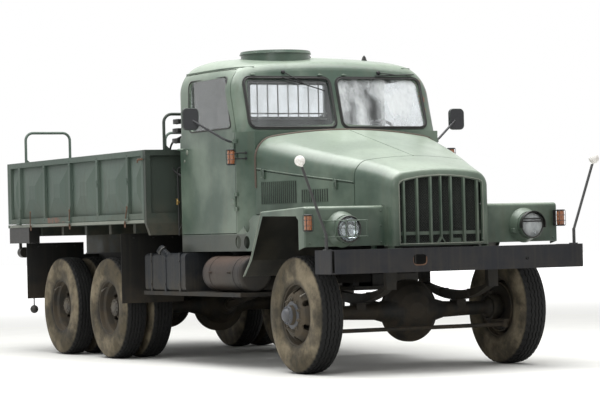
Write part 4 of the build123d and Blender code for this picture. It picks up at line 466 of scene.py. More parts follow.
def shaded_arches(s, colour):
    """Painted shade in the arches and on faces below the sheet, a darker band along the sill; primer spots on
    the left pillar.
    """
    x, y, z = s.axes()
    facing = s.axes("Normal")
    # Painted shade: faces that look down and the arches' rear-facing faces are darkened
    under = s.times(s.ramp(s.times(facing[2], -1.0), 0.05, 0.35), s.below(z, 1.37, 1.40))
    arch_shade = s.times(s.ramp(s.times(facing[0], -1.0), 0.3, 0.6),
                     s.times(s.ramp(x, 2.90, 3.00), s.below(z, 1.35, 1.37)))
    dark = s.mix(s.math("MAXIMUM", under, arch_shade), colour, srgb(30, 30, 26))
    pillar = s.times(s.ramp(x, 1.38, 1.40), s.times(s.ramp(z, 2.18, 2.24), s.below(z, 2.52, 2.58)))
    spots = s.times(s.ramp(s.noise(24, 5, 0.7), 0.56, 0.60), pillar)
    side = s.times(spots, s.ramp(y, 0.80, 0.86))
    sill = s.times(s.below(z, 1.150, 1.166), s.below(x, 1.66, 1.70))
    dark = s.mix(s.times(sill, 0.8), dark, srgb(30, 34, 29))
    return s.mix(s.times(side, 0.7), dark, srgb(134, 74, 58))


# The second colour of each call is the fading colour and also the painted top light of faces that look up
painted("body_green", (60, 77, 66), (166, 179, 162), fade_and_top_light=0.60, runs=0.16, roughness=0.33, dust=0.25,
        dust_from=0.7, dust_to=1.5, rust=0.06, patches_and_shade=shaded_arches, Coat_Weight=0.12,
        Coat_Roughness=0.2, Specular_IOR_Level=0.38)
painted("bed_green", (70, 84, 76), (106, 117, 107), fade_and_top_light=0.45, runs=0.35, run_colour=(62, 64, 54),
        roughness=0.5, dust=0.5, dust_from=1.1, dust_to=1.55, rust=0.22, rust_scale=5,
        patches_and_shade=primer_and_painted_shade, Specular_IOR_Level=0.35)
painted("chassis_black", (26, 26, 25), (46, 44, 40), fade_and_top_light=0.4, runs=0.1, roughness=0.6, dust=0.6,
        dust_from=0.2, dust_to=0.9, rust=0.3, dust_colour=(74, 64, 50), Specular_IOR_Level=0.25)
painted("bumper_slate", (34, 35, 39), (54, 56, 60), fade_and_top_light=0.4, runs=0.12, roughness=0.55, dust=0.2,
        dust_from=0.7, dust_to=1.1, rust=0.14, rust_scale=6, Specular_IOR_Level=0.2)
painted("wheel_paint", (58, 56, 52), (78, 72, 62), fade_and_top_light=0.5, runs=0.0, roughness=0.65, dust=0.85,
        dust_from=0.30, dust_to=1.6, rust=0.3, dust_colour=(84, 75, 62), Specular_IOR_Level=0.25)
painted("tank_grey", (26, 29, 33), (46, 49, 52), fade_and_top_light=0.4, runs=0.2, roughness=0.5, dust=0.4,
        dust_from=0.5, dust_to=1.0, rust=0.25, Specular_IOR_Level=0.2)
painted("tank_brown", (38, 39, 40), (78, 64, 56), fade_and_top_light=0.95, runs=0.15, roughness=0.55, dust=0.4,
        dust_from=0.5, dust_to=0.9, rust=0.35, rust_scale=4, Specular_IOR_Level=0.25)
painted("lamp_black", (24, 24, 24), (44, 44, 42), fade_and_top_light=0.4, roughness=0.4, dust=0.3, rust=0.1)
painted("bar_white", (186, 188, 184), (214, 214, 208), fade_and_top_light=0.3, runs=0.1, roughness=0.5, dust=0.1,
        rust=0.15)
painted("headlamp_body", (74, 90, 78), (122, 134, 120), fade_and_top_light=0.5, roughness=0.36, dust=0.2, rust=0.12)
painted("wheel_steel", (72, 70, 66), (98, 92, 82), fade_and_top_light=0.4, roughness=0.5, dust=0.6, dust_from=0.3,
        dust_to=1.6, rust=0.5, rust_scale=30, dust_colour=(98, 88, 72), Metallic=0.4)
painted("rim_ring", (120, 118, 112), (150, 146, 138), fade_and_top_light=0.5, roughness=0.5, dust=0.6, dust_from=0.2,
        dust_to=1.4, rust=0.45, rust_scale=22, dust_colour=(112, 102, 86), Metallic=0.3)
painted("hub_slate", (62, 68, 78), (92, 98, 108), fade_and_top_light=0.5, roughness=0.36, dust=0.4, dust_from=0.3,
        dust_to=1.2, rust=0.2, rust_scale=18)
painted("worn_edge", (110, 116, 106), (158, 160, 150), fade_and_top_light=0.6, runs=0.2, roughness=0.45, dust=0.3,
        rust=0.35, rust_scale=24)
painted("guard_steel", (36, 37, 38), (62, 62, 60), fade_and_top_light=0.4, roughness=0.45, dust=0.2, rust=0.2,
        rust_scale=30, Metallic=0.3)
painted("brass", (142, 118, 70), (170, 148, 96), fade_and_top_light=0.4, roughness=0.35, dust=0.1, rust=0.2,
        rust_scale=40, Metallic=0.7)
painted("rusty_steel", (88, 62, 46), (118, 84, 60), fade_and_top_light=0.6, runs=0.2, roughness=0.75, dust=0.2,
        rust=0.7, rust_scale=22)


def make_pole_paint():
    """Dark pole with a chalky white ball above a set height."""
    s = material("pole_black")
    ball = s.ramp(s.axes()[2], 1.672, 1.676)
    grain = s.noise(60, 5)
    dark = s.mix(grain, srgb(34, 36, 38), srgb(58, 58, 56))
    white = s.mix(s.ramp(grain, 0.4, 0.75), srgb(232, 230, 226), srgb(196, 188, 180))
    surface(s, s.mix(ball, dark, white), s.math("ADD", 0.4, s.times(grain, 0.2)), grain, 0.001)


def make_tyre_rubber():
    """Black rubber whose sidewalls carry dried mud; depth in the tread stays dark."""
    s = material("tyre")
    where = s.add("Attribute", attribute_name="mud", attribute_type="GEOMETRY").outputs["Fac"]
    broad = s.ramp(s.noise(6, 6, 0.62), 0.34, 0.62)
    fine = s.noise(75, 6, 0.7)
    amount = s.math("MULTIPLY", where, s.math("ADD", 0.35, s.times(broad, 0.65)), True)
    rubber = s.mix(fine, srgb(17, 17, 18), srgb(30, 30, 29))
    patch = s.ramp(s.noise(2.2, 5, 0.6), 0.40, 0.62)
    damp = s.mix(fine, srgb(72, 66, 54), srgb(92, 84, 68))
    dry = s.mix(fine, srgb(112, 103, 86), srgb(146, 135, 114))
    mud = s.mix(patch, damp, dry)
    surface(s, s.mix(amount, rubber, mud), s.math("ADD", 0.62, s.times(amount, 0.25)), fine, 0.0015,
            Specular_IOR_Level=0.2)


def make_glass(name, tint, clear, roughness=0.02):
    """Glass under a film of dust and old cleaning smears, with a painted reflection: the film is thicker, and
    so paler, on what is in front and to the left.

    A clear shader and a solid one have the same colour, roughness and index; clear - film *
    dust_and_reflection is the share of the clear one.
    """
    s = material(name)
    film = s.ramp(s.noise(5, 6, 0.6, s.place((1, 1, 0.5))), 0.30, 0.80)
    rough = s.math("ADD", roughness, s.times(film, 0.06))
    x, y, _ = s.axes()
    # Painted reflection: extra film on the panes and lenses in front and to the left, over a thin film of
    # dust everywhere
    dust_and_reflection = s.math("ADD", 0.05, s.times(s.ramp(y, 0.0, 0.04), s.ramp(x, 1.35, 1.38), 0.75))
    share = s.math("SUBTRACT", clear, s.times(film, dust_and_reflection))
    colour = s.mix(film, srgb(*tint), srgb(*[int(t * 0.94) for t in tint]))
    kinds = [s.add("BsdfPrincipled", {"Base Color": colour, "Roughness": rough, "IOR": 1.45,
                                      "Transmission Weight": weight}).outputs[0] for weight in (0.0, 1.0)]
    blend = s.add("MixShader", {0: share, 1: kinds[0], 2: kinds[1]})
    s.add("OutputMaterial", {"Surface": blend.outputs[0]})


def make_lens(name, deep, bright, lines):
    """Moulded lens: fine prism lines under a glossy skin."""
    s = material(name)
    wave = {"Vector": s.place(), "Scale": lines, "Distortion": 0.4}
    ribs = s.add("TexWave", wave, bands_direction="Y").outputs[0]
    grain = s.noise(30, 4)
    surface(s, s.mix(s.times(ribs, 0.8), srgb(*deep), srgb(*bright)),
            s.math("ADD", 0.14, s.times(grain, 0.1)), ribs, 0.001, Coat_Weight=0.4)


def make_plain(name, dark, light, roughness, grain_scale, bump, metallic=0.0, sheen=0.0):
    """A material of one kind with grain in colour, gloss and relief."""
    s = material(name)
    grain = s.noise(grain_scale, 6, 0.65)
    broad = s.noise(3, 3)
    mixed = s.math("ADD", s.times(grain, 0.6), s.times(broad, 0.4))
    surface(s, s.mix(s.ramp(mixed, 0.3, 0.7), srgb(*dark), srgb(*light)),
            s.math("ADD", roughness, s.times(s.math("SUBTRACT", grain, 0.5), 0.3)), grain, bump,
            Metallic=metallic, Sheen_Weight=sheen)


make_pole_paint()
make_tyre_rubber()
make_glass("window_glass", (246, 249, 251), 0.99)
make_glass("lens_clear", (226, 230, 230), 0.95, 0.05)
make_lens("amber_lens", (126, 70, 40), (176, 112, 68), 60)
make_lens("red_lens", (96, 10, 8), (168, 24, 18), 60)
make_plain("seal_rubber", (22, 22, 22), (44, 43, 41), 0.6, 90, 0.0006)
make_plain("seat_cover", (44, 38, 32), (70, 60, 50), 0.55, 160, 0.0012, sheen=0.1)
make_plain("wheel_bakelite", (16, 16, 16), (34, 32, 30), 0.28, 40, 0.0003)
make_plain("mirror_black", (26, 27, 30), (46, 47, 50), 0.42, 120, 0.0005)
make_plain("mirror_glass", (190, 194, 198), (214, 218, 220), 0.05, 3, 0.0, metallic=1.0)
make_plain("dark_mesh", (14, 15, 14), (26, 28, 26), 0.8, 80, 0.0005)
make_plain("mesh_grey", (58, 62, 58), (84, 90, 84), 0.6, 60, 0.0004)
make_plain("brown_rubber", (58, 48, 40), (86, 74, 62), 0.6, 70, 0.0006)
make_plain("hose_rubber", (24, 24, 25), (44, 43, 42), 0.5, 60, 0.0006)
make_plain("bed_boards", (70, 74, 64), (98, 98, 84), 0.75, 26, 0.002)

for row in frame["record"]["subparts"]:
    mesh = nodes[row["node"]].data
    mesh.materials.clear()
    mesh.materials.append(MATERIALS[row["material_slot"]])


# Tyres: zigzag ribs worn on the crown, plain muddy sidewalls
TREAD_HALF = 0.086
GROOVES_Y = (-0.051, -0.017, 0.017, 0.051)
GROOVE_W = 0.0042
GROOVE_DEPTH = 0.011
ZIGZAGS = 46
ZIGZAG_REACH = 0.0055
TYRE_STEPS = 230


def tyre(at, side):
    """Tyre turned about its axle: a section of (y, r) round bead, sidewall and crown, grooved in the crown.

    A groove is GROOVE_DEPTH deep where |y - centre - zigzag(angle)| is under GROOVE_W; shorter slots cut the
    shoulders once per zigzag, and the sidewalls swell by a sine of three turns.
    """
    section = np.array([
        (-0.088, 0.256), (-0.098, 0.262), (-0.103, 0.280), (-0.107, 0.305), (-0.113, 0.335), (-0.1165, 0.365),
        (-0.1165, 0.392), (-0.113, 0.416), (-0.1085, 0.434), (-0.104, 0.448), (-0.1015, 0.459),
        (-0.0975, 0.468), (-0.090, 0.4765)])
    crown_y = np.linspace(-TREAD_HALF, TREAD_HALF, 53)
    crown = np.stack([crown_y, TYRE_R - 0.0065 * (crown_y / TREAD_HALF) ** 2], -1)
    inside = np.array([(0.060, 0.262), (0.0, 0.250), (-0.060, 0.262)])
    outline = np.concatenate([section, crown, section[::-1] * [-1, 1], inside])
    turn = np.linspace(0, 2 * math.pi, TYRE_STEPS, endpoint=False)
    phase = turn * ZIGZAGS / (2 * math.pi) % 1
    zigzag = ZIGZAG_REACH * (4 * abs(phase - 0.5) - 1)
    y = np.broadcast_to(outline[:, 0], (len(turn), len(outline))).copy()
    r = np.broadcast_to(outline[:, 1], y.shape).copy()
    groove = np.zeros_like(y)
    for centre in GROOVES_Y:
        away = abs(y - centre - zigzag[:, None])
        groove = np.maximum(groove, np.clip((GROOVE_W - away) / 0.0016, 0, 1))
    slots = np.clip((0.14 - abs(phase - 0.5)) / 0.04, 0, 1)[:, None] * np.clip((abs(y) - 0.072) / 0.003, 0, 1)
    crown_only = (r > 0.472)
    r -= (GROOVE_DEPTH * np.maximum(groove, 0.7 * slots)) * crown_only
    bulge = 0.0015 * np.sin(3 * turn)[:, None] * np.exp(-((r - 0.38) / 0.05) ** 2)
    y = y + np.sign(y) * bulge
    points = np.stack([at[0] + r * np.cos(turn)[:, None], at[1] + side * y,
                       at[2] + r * np.sin(turn)[:, None]], -1)
    mud = np.clip((0.474 - outline[:, 1]) / 0.012, 0, 1) * np.clip((outline[:, 1] - 0.262) / 0.03, 0.35, 1)
    return rings(points, True), np.broadcast_to(mud, y.shape).ravel()


def tyre_piece(name, centres, side, body, node):
    """The tyres of one node, with how much mud each point carries."""
    made = [tyre(centre, side) for centre in centres]
    result = piece(name, [part for part, _ in made], body, "tyre", replaces=(node,), sharp=40)
    mud = result.data.attributes.new("mud", "FLOAT", "POINT")
    mud.data.foreach_set("value", np.concatenate([m for _, m in made]).astype(np.float32))
    return result


for side_name, side in SIDES:
    tyre_piece(f"tread_front_{side_name}", [(FRONT_X, side * FRONT_TRACK_Y, HUB_Z)], side,
               f"wheel_front_{side_name}", f"tyre_front_{side_name}")
    for axle, axle_x in TWIN_X.items():
        pair = [(axle_x, side * y, HUB_Z) for y in (TWIN_OUTER_Y, TWIN_OUTER_Y - TWIN_PITCH)]
        tyre_piece(f"tread_{axle}_{side_name}", pair, side, f"wheels_{axle}_{side_name}",
                   f"tyres_{axle}_{side_name}")

# Wheels: nuts, hubs, lock rings and valves
FRONT_FACE_Y = 1.0845
FRONT_CAP_Y = 1.1285
TWIN_DISC_Y = 0.9335
TWIN_CAP_Y = 1.0865
LOCK_RING_R = 0.2665
NUT_RING_R = 0.131
WHEEL_NUTS = 10
RIM_EDGE = 0.088


def around(count, radius, x, y, start=0.0):
    """Points (x + R cos t, y, z + R sin t) of a circle about a wheel's axle."""
    t = 2 * math.pi * (np.arange(count) + start) / count
    return np.stack([x + radius * np.cos(t), np.full(count, y), HUB_Z + radius * np.sin(t)], -1)


def torus(at, axis, radius, thick, segments=72, sides=8, squash=1.0):
    """A ring: at + (R + r cos b) * (cos a, sin a) + squash * r sin b along the axis."""
    u, v = across(axis)
    a = np.linspace(0, 2 * math.pi, segments, endpoint=False)[:, None, None]
    b = np.linspace(0, 2 * math.pi, sides, endpoint=False)[None, :, None]
    points = np.asarray(at) + (radius + thick * np.cos(b)) * (np.cos(a) * u + np.sin(a) * v)
    return rings(points + squash * thick * np.sin(b) * unit(axis), True)


def wheel_nuts(x, side, y):
    """The studs and nuts that hold a disc."""
    parts = []
    for spot in around(WHEEL_NUTS, NUT_RING_R, x, side * y, 0.5):
        parts += nut_on_stud(spot - [0, side * 0.001, 0], (0, side, 0), 0.0165, 0.020)
        parts.append(lathe([(-0.001, 0.020), (0.003, 0.020), (0.004, 0.018)], spot, (0, side, 0), 20))
    return parts


def rim_ring(x, side, y):
    """The lock ring sprung into the rim's gutter, split once, and the flange bead inside it."""
    t = np.linspace(0.02, 2 * math.pi - 0.02, 90)
    split_ring = np.stack([x + LOCK_RING_R * np.cos(t + 1.9), np.full(90, side * (y + 0.001)),
                           HUB_Z + LOCK_RING_R * np.sin(t + 1.9)], -1)
    return [tube(split_ring, 0.0052, 8), torus((x, side * (y - 0.003), HUB_Z), Y, 0.2725, 0.0045)]


def front_hub(x, side):
    """Drive flange and domed cap with a ring of screws, on the wheel's hub."""
    axis = (0, side, 0)
    at = np.array([x, 0, HUB_Z])
    cap = [(-0.004, 0.0795), (0.004, 0.0795), (0.010, 0.076), (0.013, 0.058), (0.020, 0.055), (0.034, 0.050),
           (0.042, 0.040), (0.046, 0.024), (0.047, 0.0)]
    flange = [(-0.002, 0.114), (0.006, 0.114), (0.010, 0.1075), (0.012, 0.1045), (0.012, 0.0), (-0.002, 0.0)]
    parts = [lathe(cap, at + [0, side * FRONT_CAP_Y, 0], axis, 40),
             lathe(flange, at + [0, side * FRONT_FACE_Y, 0], axis, 48)]
    outer = around(12, 0.0675, x, side * (FRONT_CAP_Y + 0.009))
    inner = around(6, 0.046, x, side * (FRONT_CAP_Y + 0.0215), 0.25)
    parts += [bolt(spot, axis, 0.0078, 0.009) for spot in outer]
    parts += [bolt(spot, axis, 0.0065, 0.007) for spot in inner]
    return parts


def twin_hub(x, side):
    """Half-shaft flange and its screws at the end of the twin wheel's hub."""
    axis = (0, side, 0)
    face = np.array([x, side * TWIN_CAP_Y, HUB_Z])
    flange = [(-0.004, 0.0800), (0.006, 0.0800), (0.010, 0.0770), (0.012, 0.050), (0.024, 0.042),
              (0.026, 0.0)]
    screws = around(10, 0.0650, x, side * (TWIN_CAP_Y + 0.010))
    return [lathe(flange, face, axis, 40)] + [bolt(spot, axis, 0.0085, 0.010) for spot in screws]


def valve(x, side, y, angle):
    """Tyre valve bent out past the rim's edge, with its cap."""
    out = np.array([math.cos(angle), 0, math.sin(angle)])
    foot = np.array([x, side * (y - 0.045), HUB_Z]) + 0.236 * out
    knee = foot + [0, side * 0.03, 0] - 0.004 * out
    path = bend([foot, knee, foot + [0, side * 0.062, 0] - 0.03 * out], 0.02)
    cap = [(0, 0.006), (0.014, 0.006), (0.016, 0.004)]
    return [tube(path, 0.0042, 8), lathe(cap, path[-1], path[-1] - path[-2], 10)]


for side_name, side in SIDES:
    body = f"wheel_front_{side_name}"
    rim_y = FRONT_TRACK_Y + RIM_EDGE
    piece(f"wheel_nuts_front_{side_name}", wheel_nuts(FRONT_X, side, FRONT_FACE_Y - 0.0005), body,
          "wheel_steel")
    piece(f"hub_cap_front_{side_name}", front_hub(FRONT_X, side), body, "hub_slate")
    piece(f"lock_ring_front_{side_name}", rim_ring(FRONT_X, side, rim_y) + valve(FRONT_X, side, rim_y, 0.9),
          body, "rim_ring")
    for axle, axle_x in TWIN_X.items():
        body = f"wheels_{axle}_{side_name}"
        rim_y = TWIN_OUTER_Y + RIM_EDGE
        piece(f"wheel_nuts_{axle}_{side_name}", wheel_nuts(axle_x, side, TWIN_DISC_Y), body, "wheel_steel")
        piece(f"shaft_flange_{axle}_{side_name}", twin_hub(axle_x, side), body, "wheel_steel")
        piece(f"lock_ring_{axle}_{side_name}",
              rim_ring(axle_x, side, rim_y) + valve(axle_x, side, rim_y, 2.2), body, "rim_ring")

# Lamps
LAMP_FACE_X = 3.1633
LAMP_Y, LAMP_Z = 0.862, 1.177
CAGE_X = 3.3253
CAGE_Y = (-0.702, -1.022)
TURN_LAMP = np.array([3.222, 1.192, 1.232])
PILLAR_LAMP = np.array([1.600, 1.094, 1.821])
LAMP_HALF_H = 0.064


def headlamp_bowl(side):
    """Bowl turned about the lamp's axis, swelling out to its rim, and the shroud round its root."""
    at = (LAMP_FACE_X, side * LAMP_Y, LAMP_Z)
    bowl = [(0.0, 0.0), (0.0, 0.0750), (0.012, 0.090), (0.030, 0.102), (0.070, 0.1080), (0.118, 0.1085),
            (0.122, 0.1120), (0.134, 0.1120), (0.138, 0.1085), (0.138, 0.0985), (0.124, 0.0985),
            (0.100, 0.0830), (0.080, 0.0560), (0.072, 0.0)]
    shroud = [(0.0, 0.112), (0.0, 0.142), (0.006, 0.146), (0.012, 0.143), (0.040, 0.132), (0.074, 0.1185),
              (0.082, 0.1130), (0.080, 0.1095), (0.040, 0.1100)]
    return [lathe(bowl, at, X, 56), lathe(shroud + [shroud[0]], at, X, 56)]


def headlamp_glass(side):
    """Domed lens: x = 0.128 + 0.021 * sqrt(1 - (r / 0.1)^2) + a ripple of 0.6 mm, 12 mm long, across y.

    Two such domes 4 mm apart are joined round their edge and closed at their tops.
    """
    r = np.linspace(0.0, 0.098, 12)[:, None]
    t = np.linspace(0, 2 * math.pi, 48, endpoint=False)[None]
    y, z = r * np.cos(t), r * np.sin(t)
    swell = 0.021 * np.sqrt(np.clip(1 - (r / 0.1) ** 2, 0, 1))
    dome = 0.128 + swell + 0.0006 * np.cos(2 * math.pi * y / 0.012)
    front = np.stack([LAMP_FACE_X + dome + 0 * t, side * LAMP_Y + y, LAMP_Z + z], -1)
    back = front - [0.004, 0, 0]
    grid = np.concatenate([front[1:], back[:0:-1]])
    points, faces = grid.reshape(-1, 3), grid_faces(len(grid), 48, False, True)
    tops = np.array([front[0, 0], back[0, 0]])
    count = len(points)
    faces += [[count, (k + 1) % 48, k] for k in range(48)]
    last = (len(grid) - 1) * 48
    faces += [[count + 1, last + k, last + (k + 1) % 48] for k in range(48)]
    return np.concatenate([points, tops]), faces


def lamp_cage():
    """Round-rod cage before the right lamp: two hoops back to the fender, uprights between them."""
    parts = []
    near, far = CAGE_Y
    foot = [(0, 0.014), (0.004, 0.014), (0.006, 0.008)]
    for z in (1.246, 1.117):
        hoop = [(LAMP_FACE_X, near, z), (CAGE_X, near, z), (CAGE_X, far, z), (LAMP_FACE_X, far, z)]
        parts.append(tube(bend(hoop, 0.018, 6), 0.005, 10))
        parts += [lathe(foot, (LAMP_FACE_X, y, z), X, 14) for y in CAGE_Y]
    for y in (-0.720, -0.820, -0.905, -1.004):
        parts.append(tube([(CAGE_X, y, 1.250), (CAGE_X, y, 1.113)], 0.0048, 10))
    return parts


def lamp_visor():
    """Blackout visor over the left lamp: a section swept through an arc, and two rods across its mouth."""
    at = np.array([LAMP_FACE_X + 0.120, LAMP_Y, LAMP_Z])
    t = np.linspace(math.radians(-12), math.radians(192), 40)[:, None]
    section = np.array([(0.0, 0.1125), (0.046, 0.1125), (0.048, 0.1140), (0.048, 0.1165), (0.0, 0.1160)])
    arc = np.cos(t)[..., None] * Y + np.sin(t)[..., None] * Z
    parts = [rings(at + section[None, :, :1] * X + section[None, :, 1:] * arc)]
    for k, z in enumerate((0.052, 0.030)):
        half = math.sqrt(0.104 ** 2 - z ** 2)
        rod = [(at[0] + 0.034 - 0.006 * k, LAMP_Y + s * half, LAMP_Z + z) for s in (-1, 1)]
        parts.append(tube(rod, 0.0055, 8))
    return parts


def lamp_bracket():
    """Small box and its screw at the left lamp's inner lower edge."""
    box = slab((LAMP_FACE_X, LAMP_Y - 0.138, LAMP_Z - 0.062),
               (LAMP_FACE_X + 0.060, LAMP_Y - 0.090, LAMP_Z - 0.026), 0.004)
    return [box, bolt((LAMP_FACE_X + 0.060, LAMP_Y - 0.114, LAMP_Z - 0.044), X, 0.007, 0.006)]


def headlamp_rim(side):
    """Black ring round the lens."""
    return torus((LAMP_FACE_X + 0.1375, side * LAMP_Y, LAMP_Z), X, 0.1035, 0.0055, 56, 10)


def headlamp_reflector(side):
    """Bright dish behind the lens: a thin curved section turned about the lamp's axis."""
    dish = [(0.076, 0.012), (0.083, 0.055), (0.103, 0.081), (0.122, 0.0955), (0.123, 0.0945), (0.104, 0.080),
            (0.084, 0.054), (0.078, 0.012)]
    return lathe(dish, (LAMP_FACE_X, side * LAMP_Y, LAMP_Z), X, 40)


piece("headlamp_bowls", headlamp_bowl(1) + headlamp_bowl(-1) + lamp_bracket(), "root", "headlamp_body",
      replaces=("headlamps",))
piece("headlamp_lenses", [headlamp_glass(1), headlamp_glass(-1)], "root", "lens_clear")
piece("headlamp_rims", [headlamp_rim(1), headlamp_rim(-1)], "root", "lamp_black")
piece("headlamp_reflectors", [headlamp_reflector(1), headlamp_reflector(-1)], "root", "mirror_glass")
piece("lamp_cage", lamp_cage(), "root", "headlamp_body")
piece("lamp_visor", lamp_visor(), "root", "lamp_black")


def lens_body(at):
    """Ribbed amber lens: an upright barrel whose radius ripples with height, one rib every 9 mm."""
    h = np.linspace(-LAMP_HALF_H + 0.004, LAMP_HALF_H - 0.004, 45)
    radius = 0.0325 + 0.0009 * np.cos(2 * math.pi * h / 0.009) - 0.006 * (abs(h) / LAMP_HALF_H) ** 6
    profile = [(h[0], 0.0)] + list(zip(h, radius)) + [(h[-1], 0.0)]
    return lathe(profile, at, Z, 32)


def lamp_guard(at):
    """Caps, two hoops and four wires round an upright lens."""
    parts = []
    cap = np.array([(-0.006, 0.0), (-0.006, 0.036), (0.001, 0.0365), (0.005, 0.030), (0.006, 0.0)])
    for end in (1, -1):
        parts.append(lathe((cap + [LAMP_HALF_H, 0]) * [end, 1], at, Z, 28))
        parts.append(torus(at + [0, 0, end * LAMP_HALF_H * 0.36], Z, 0.0425, 0.0022, 40, 6))
    for k in range(4):
        t = math.radians(45 + 90 * k)
        out = np.array([math.cos(t), math.sin(t), 0])
        wire = ((-LAMP_HALF_H - 0.004, 0.012), (-LAMP_HALF_H - 0.003, 0.043), (LAMP_HALF_H + 0.003, 0.043),
                (LAMP_HALF_H + 0.004, 0.012))
        path = bend([at + [0, 0, z] + reach * out for z, reach in wire], 0.016, 5)
        parts.append(tube(path, 0.0022, 6))
    return parts


def turn_lamp_arms(side):
    """Foot plate on the fender and the two arms that hold the turn lamp's caps."""
    y = side * 1.165
    parts = [slab((LAMP_FACE_X, y - 0.012, 1.166), (LAMP_FACE_X + 0.004, y + 0.012, 1.298), 0.0015)]
    for z in (-LAMP_HALF_H, LAMP_HALF_H):
        parts.append(slab((LAMP_FACE_X, y - 0.010, TURN_LAMP[2] + z - 0.002),
                          (TURN_LAMP[0] + 0.006, y + 0.014, TURN_LAMP[2] + z + 0.003), 0.0015))
    return parts + [bolt((LAMP_FACE_X + 0.004, y, z), X, 0.006, 0.005) for z in (1.190, 1.274)]


def pillar_lamp_arms(side):
    """Two pins from the cab's side to the pillar lamp's guard, each with a round foot."""
    pins, feet = [], []
    for z in (PILLAR_LAMP[2] + 0.036, PILLAR_LAMP[2] - 0.013):
        pins.append(tube([(1.600, side * 0.952, z), (1.600, side * 1.058, z)], 0.0058, 10))
        feet.append(lathe([(0, 0.013), (0.005, 0.013), (0.007, 0.008)], (1.602, side * 0.950, z),
                          (0.44, side * 0.9, 0), 14))
    return pins + feet


lamp_spots = [place * [1, side, 1] for place in (TURN_LAMP, PILLAR_LAMP) for side in (1, -1)]
guards = []
for spot in lamp_spots:
    guards += lamp_guard(spot)
for side_name, side in SIDES:
    guards += turn_lamp_arms(side) + pillar_lamp_arms(side)
piece("amber_lenses", [lens_body(spot) for spot in lamp_spots], "root", "amber_lens",
      replaces=("indicator_lamps",))
piece("lamp_guards", guards, "root", "guard_steel")

# Grille: expanded mesh, rim bead and a blank plate behind the bars
MESH_X = 3.247
GRILLE_RIM_X = 3.2905
BLANK_PLATE = (0.159, 1.056)


def grille_edge(z):
    """Half width of the grille's opening at a height: straight sides, then a low crown."""
    rise = np.clip((z - 1.530) / 0.028, 0, 1)
    return 0.391 - 0.029 * rise


def zigzag_mesh():
    """Expanded metal: strands at z = row + 5.2 mm * triangle(y), alternate rows in opposite phase."""
    parts = []
    for row, z in enumerate(np.arange(1.052, 1.585, 0.0115)):
        half = float(grille_edge(z)) - 0.004
        if z > 1.556:
            half = min(half, 0.362 * math.sqrt(max(1 - (z - 1.556) / 0.043, 0.02)))
        y = np.linspace(-half, half, max(int(half / 0.0075) * 2 + 1, 5))
        wave = 0.0052 * (1 - 2 * (np.arange(len(y)) % 2)) * (1 if row % 2 else -1)
        parts.append(tube(np.stack([np.full_like(y, MESH_X), y, z + wave], -1), 0.0017, 4))
    return parts


def grille_rim():
    """Rounded bead along the opening: upright sides, and a head at z = 1.603 - 0.041 * (y / 0.362)^2."""
    y = np.linspace(0.357, -0.357, 25)
    crown = np.stack([np.full_like(y, GRILLE_RIM_X), y, 1.603 - 0.041 * (y / 0.362) ** 2], -1)
    side = np.array([(GRILLE_RIM_X, y, z) for y, z in ((0.394, 1.049), (0.394, 1.530), (0.389, 1.548))])
    bottom = [(GRILLE_RIM_X, -0.394, 1.0435), (GRILLE_RIM_X, 0.394, 1.0435)]
    arch = np.concatenate([side, crown, side[::-1] * [1, -1, 1]])
    return [tube(arch, 0.0045, 8), tube(bottom, 0.0045, 8)]


def blank_plate():
    """Plain plate with round corners on the mesh, low on the left, and its two screws."""
    y, z = BLANK_PLATE
    parts = [plate(round_rect(0.086, 0.058, 0.008), 0.003, (3.251, y, z), Y, Z, 0.001)]
    parts += [bolt((3.254, y + dy, z), X, 0.004, 0.003) for dy in (-0.034, 0.034)]
    return parts


def grille_shade_sheet():
    """Dark sheet behind the mesh that closes the gap round the radiator: painted shade in place of the
    shadowed space there.
    """
    outline = [(-0.410, 1.020), (0.410, 1.020), (0.410, 1.520), (0.376, 1.590), (0.200, 1.622),
               (-0.200, 1.622), (-0.376, 1.590), (-0.410, 1.520)]
    return [plate(outline, 0.004, (3.164, 0, 0), Y, Z, 0.001)]


piece("grille_mesh", zigzag_mesh(), "root", "mesh_grey")
# Painted shade: a near-black sheet behind the grille's mesh
piece("grille_shade_sheet", grille_shade_sheet(), "root", "dark_mesh")
piece("grille_rim", grille_rim(), "root", "worn_edge")
piece("blank_plate", blank_plate(), "root", "headlamp_body")

# Fittings are laid on the frame's own surfaces
SURFACES = {}


def surface_of(names):
    """A search tree over the faces of some CAD nodes, kept for the next use."""
    if names not in SURFACES:
        points, faces, count = [], [], 0
        for name in names:
            mesh = nodes[name].data
            flat = np.empty(len(mesh.vertices) * 3)
            mesh.vertices.foreach_get("co", flat)
            points.append(flat.reshape(-1, 3))
            corners = np.empty(len(mesh.loops), int)
            mesh.loops.foreach_get("vertex_index", corners)
            faces.append(corners.reshape(-1, 3) + count)
            count += len(points[-1])
        points, faces = np.concatenate(points), np.concatenate(faces)
        SURFACES[names] = BVHTree.FromPolygons(points.tolist(), faces.tolist())
    return SURFACES[names]


def laid_on(points, towards, names, lift=0.0):
    """Points carried along a direction to the first face of the nodes, then back by lift, without misses."""
    tree, ray = surface_of(names), Vector(unit(towards))
    hits = [tree.ray_cast(Vector(point), ray)[0] for point in np.asarray(points, float)]
    return np.array([np.array(hit) - lift * np.array(ray) for hit in hits if hit is not None])


def span(start, end, count):
    """Evenly spaced points (1 - t) * start + t * end."""
    t = np.linspace(0, 1, count)[:, None]
    return (1 - t) * np.asarray(start, float) + t * np.asarray(end, float)


HOODS = ("hood_left", "hood_right", "hood_sides")
NOSE = ("nose_shell", "fenders", "grille")
CAB = ("cab_shell",)
SCREEN_RAKE = -0.30


def screen_x(z):
    """Reach of the raked screen plane at a height."""
    return 1.556 + SCREEN_RAKE * (z - 2.045)


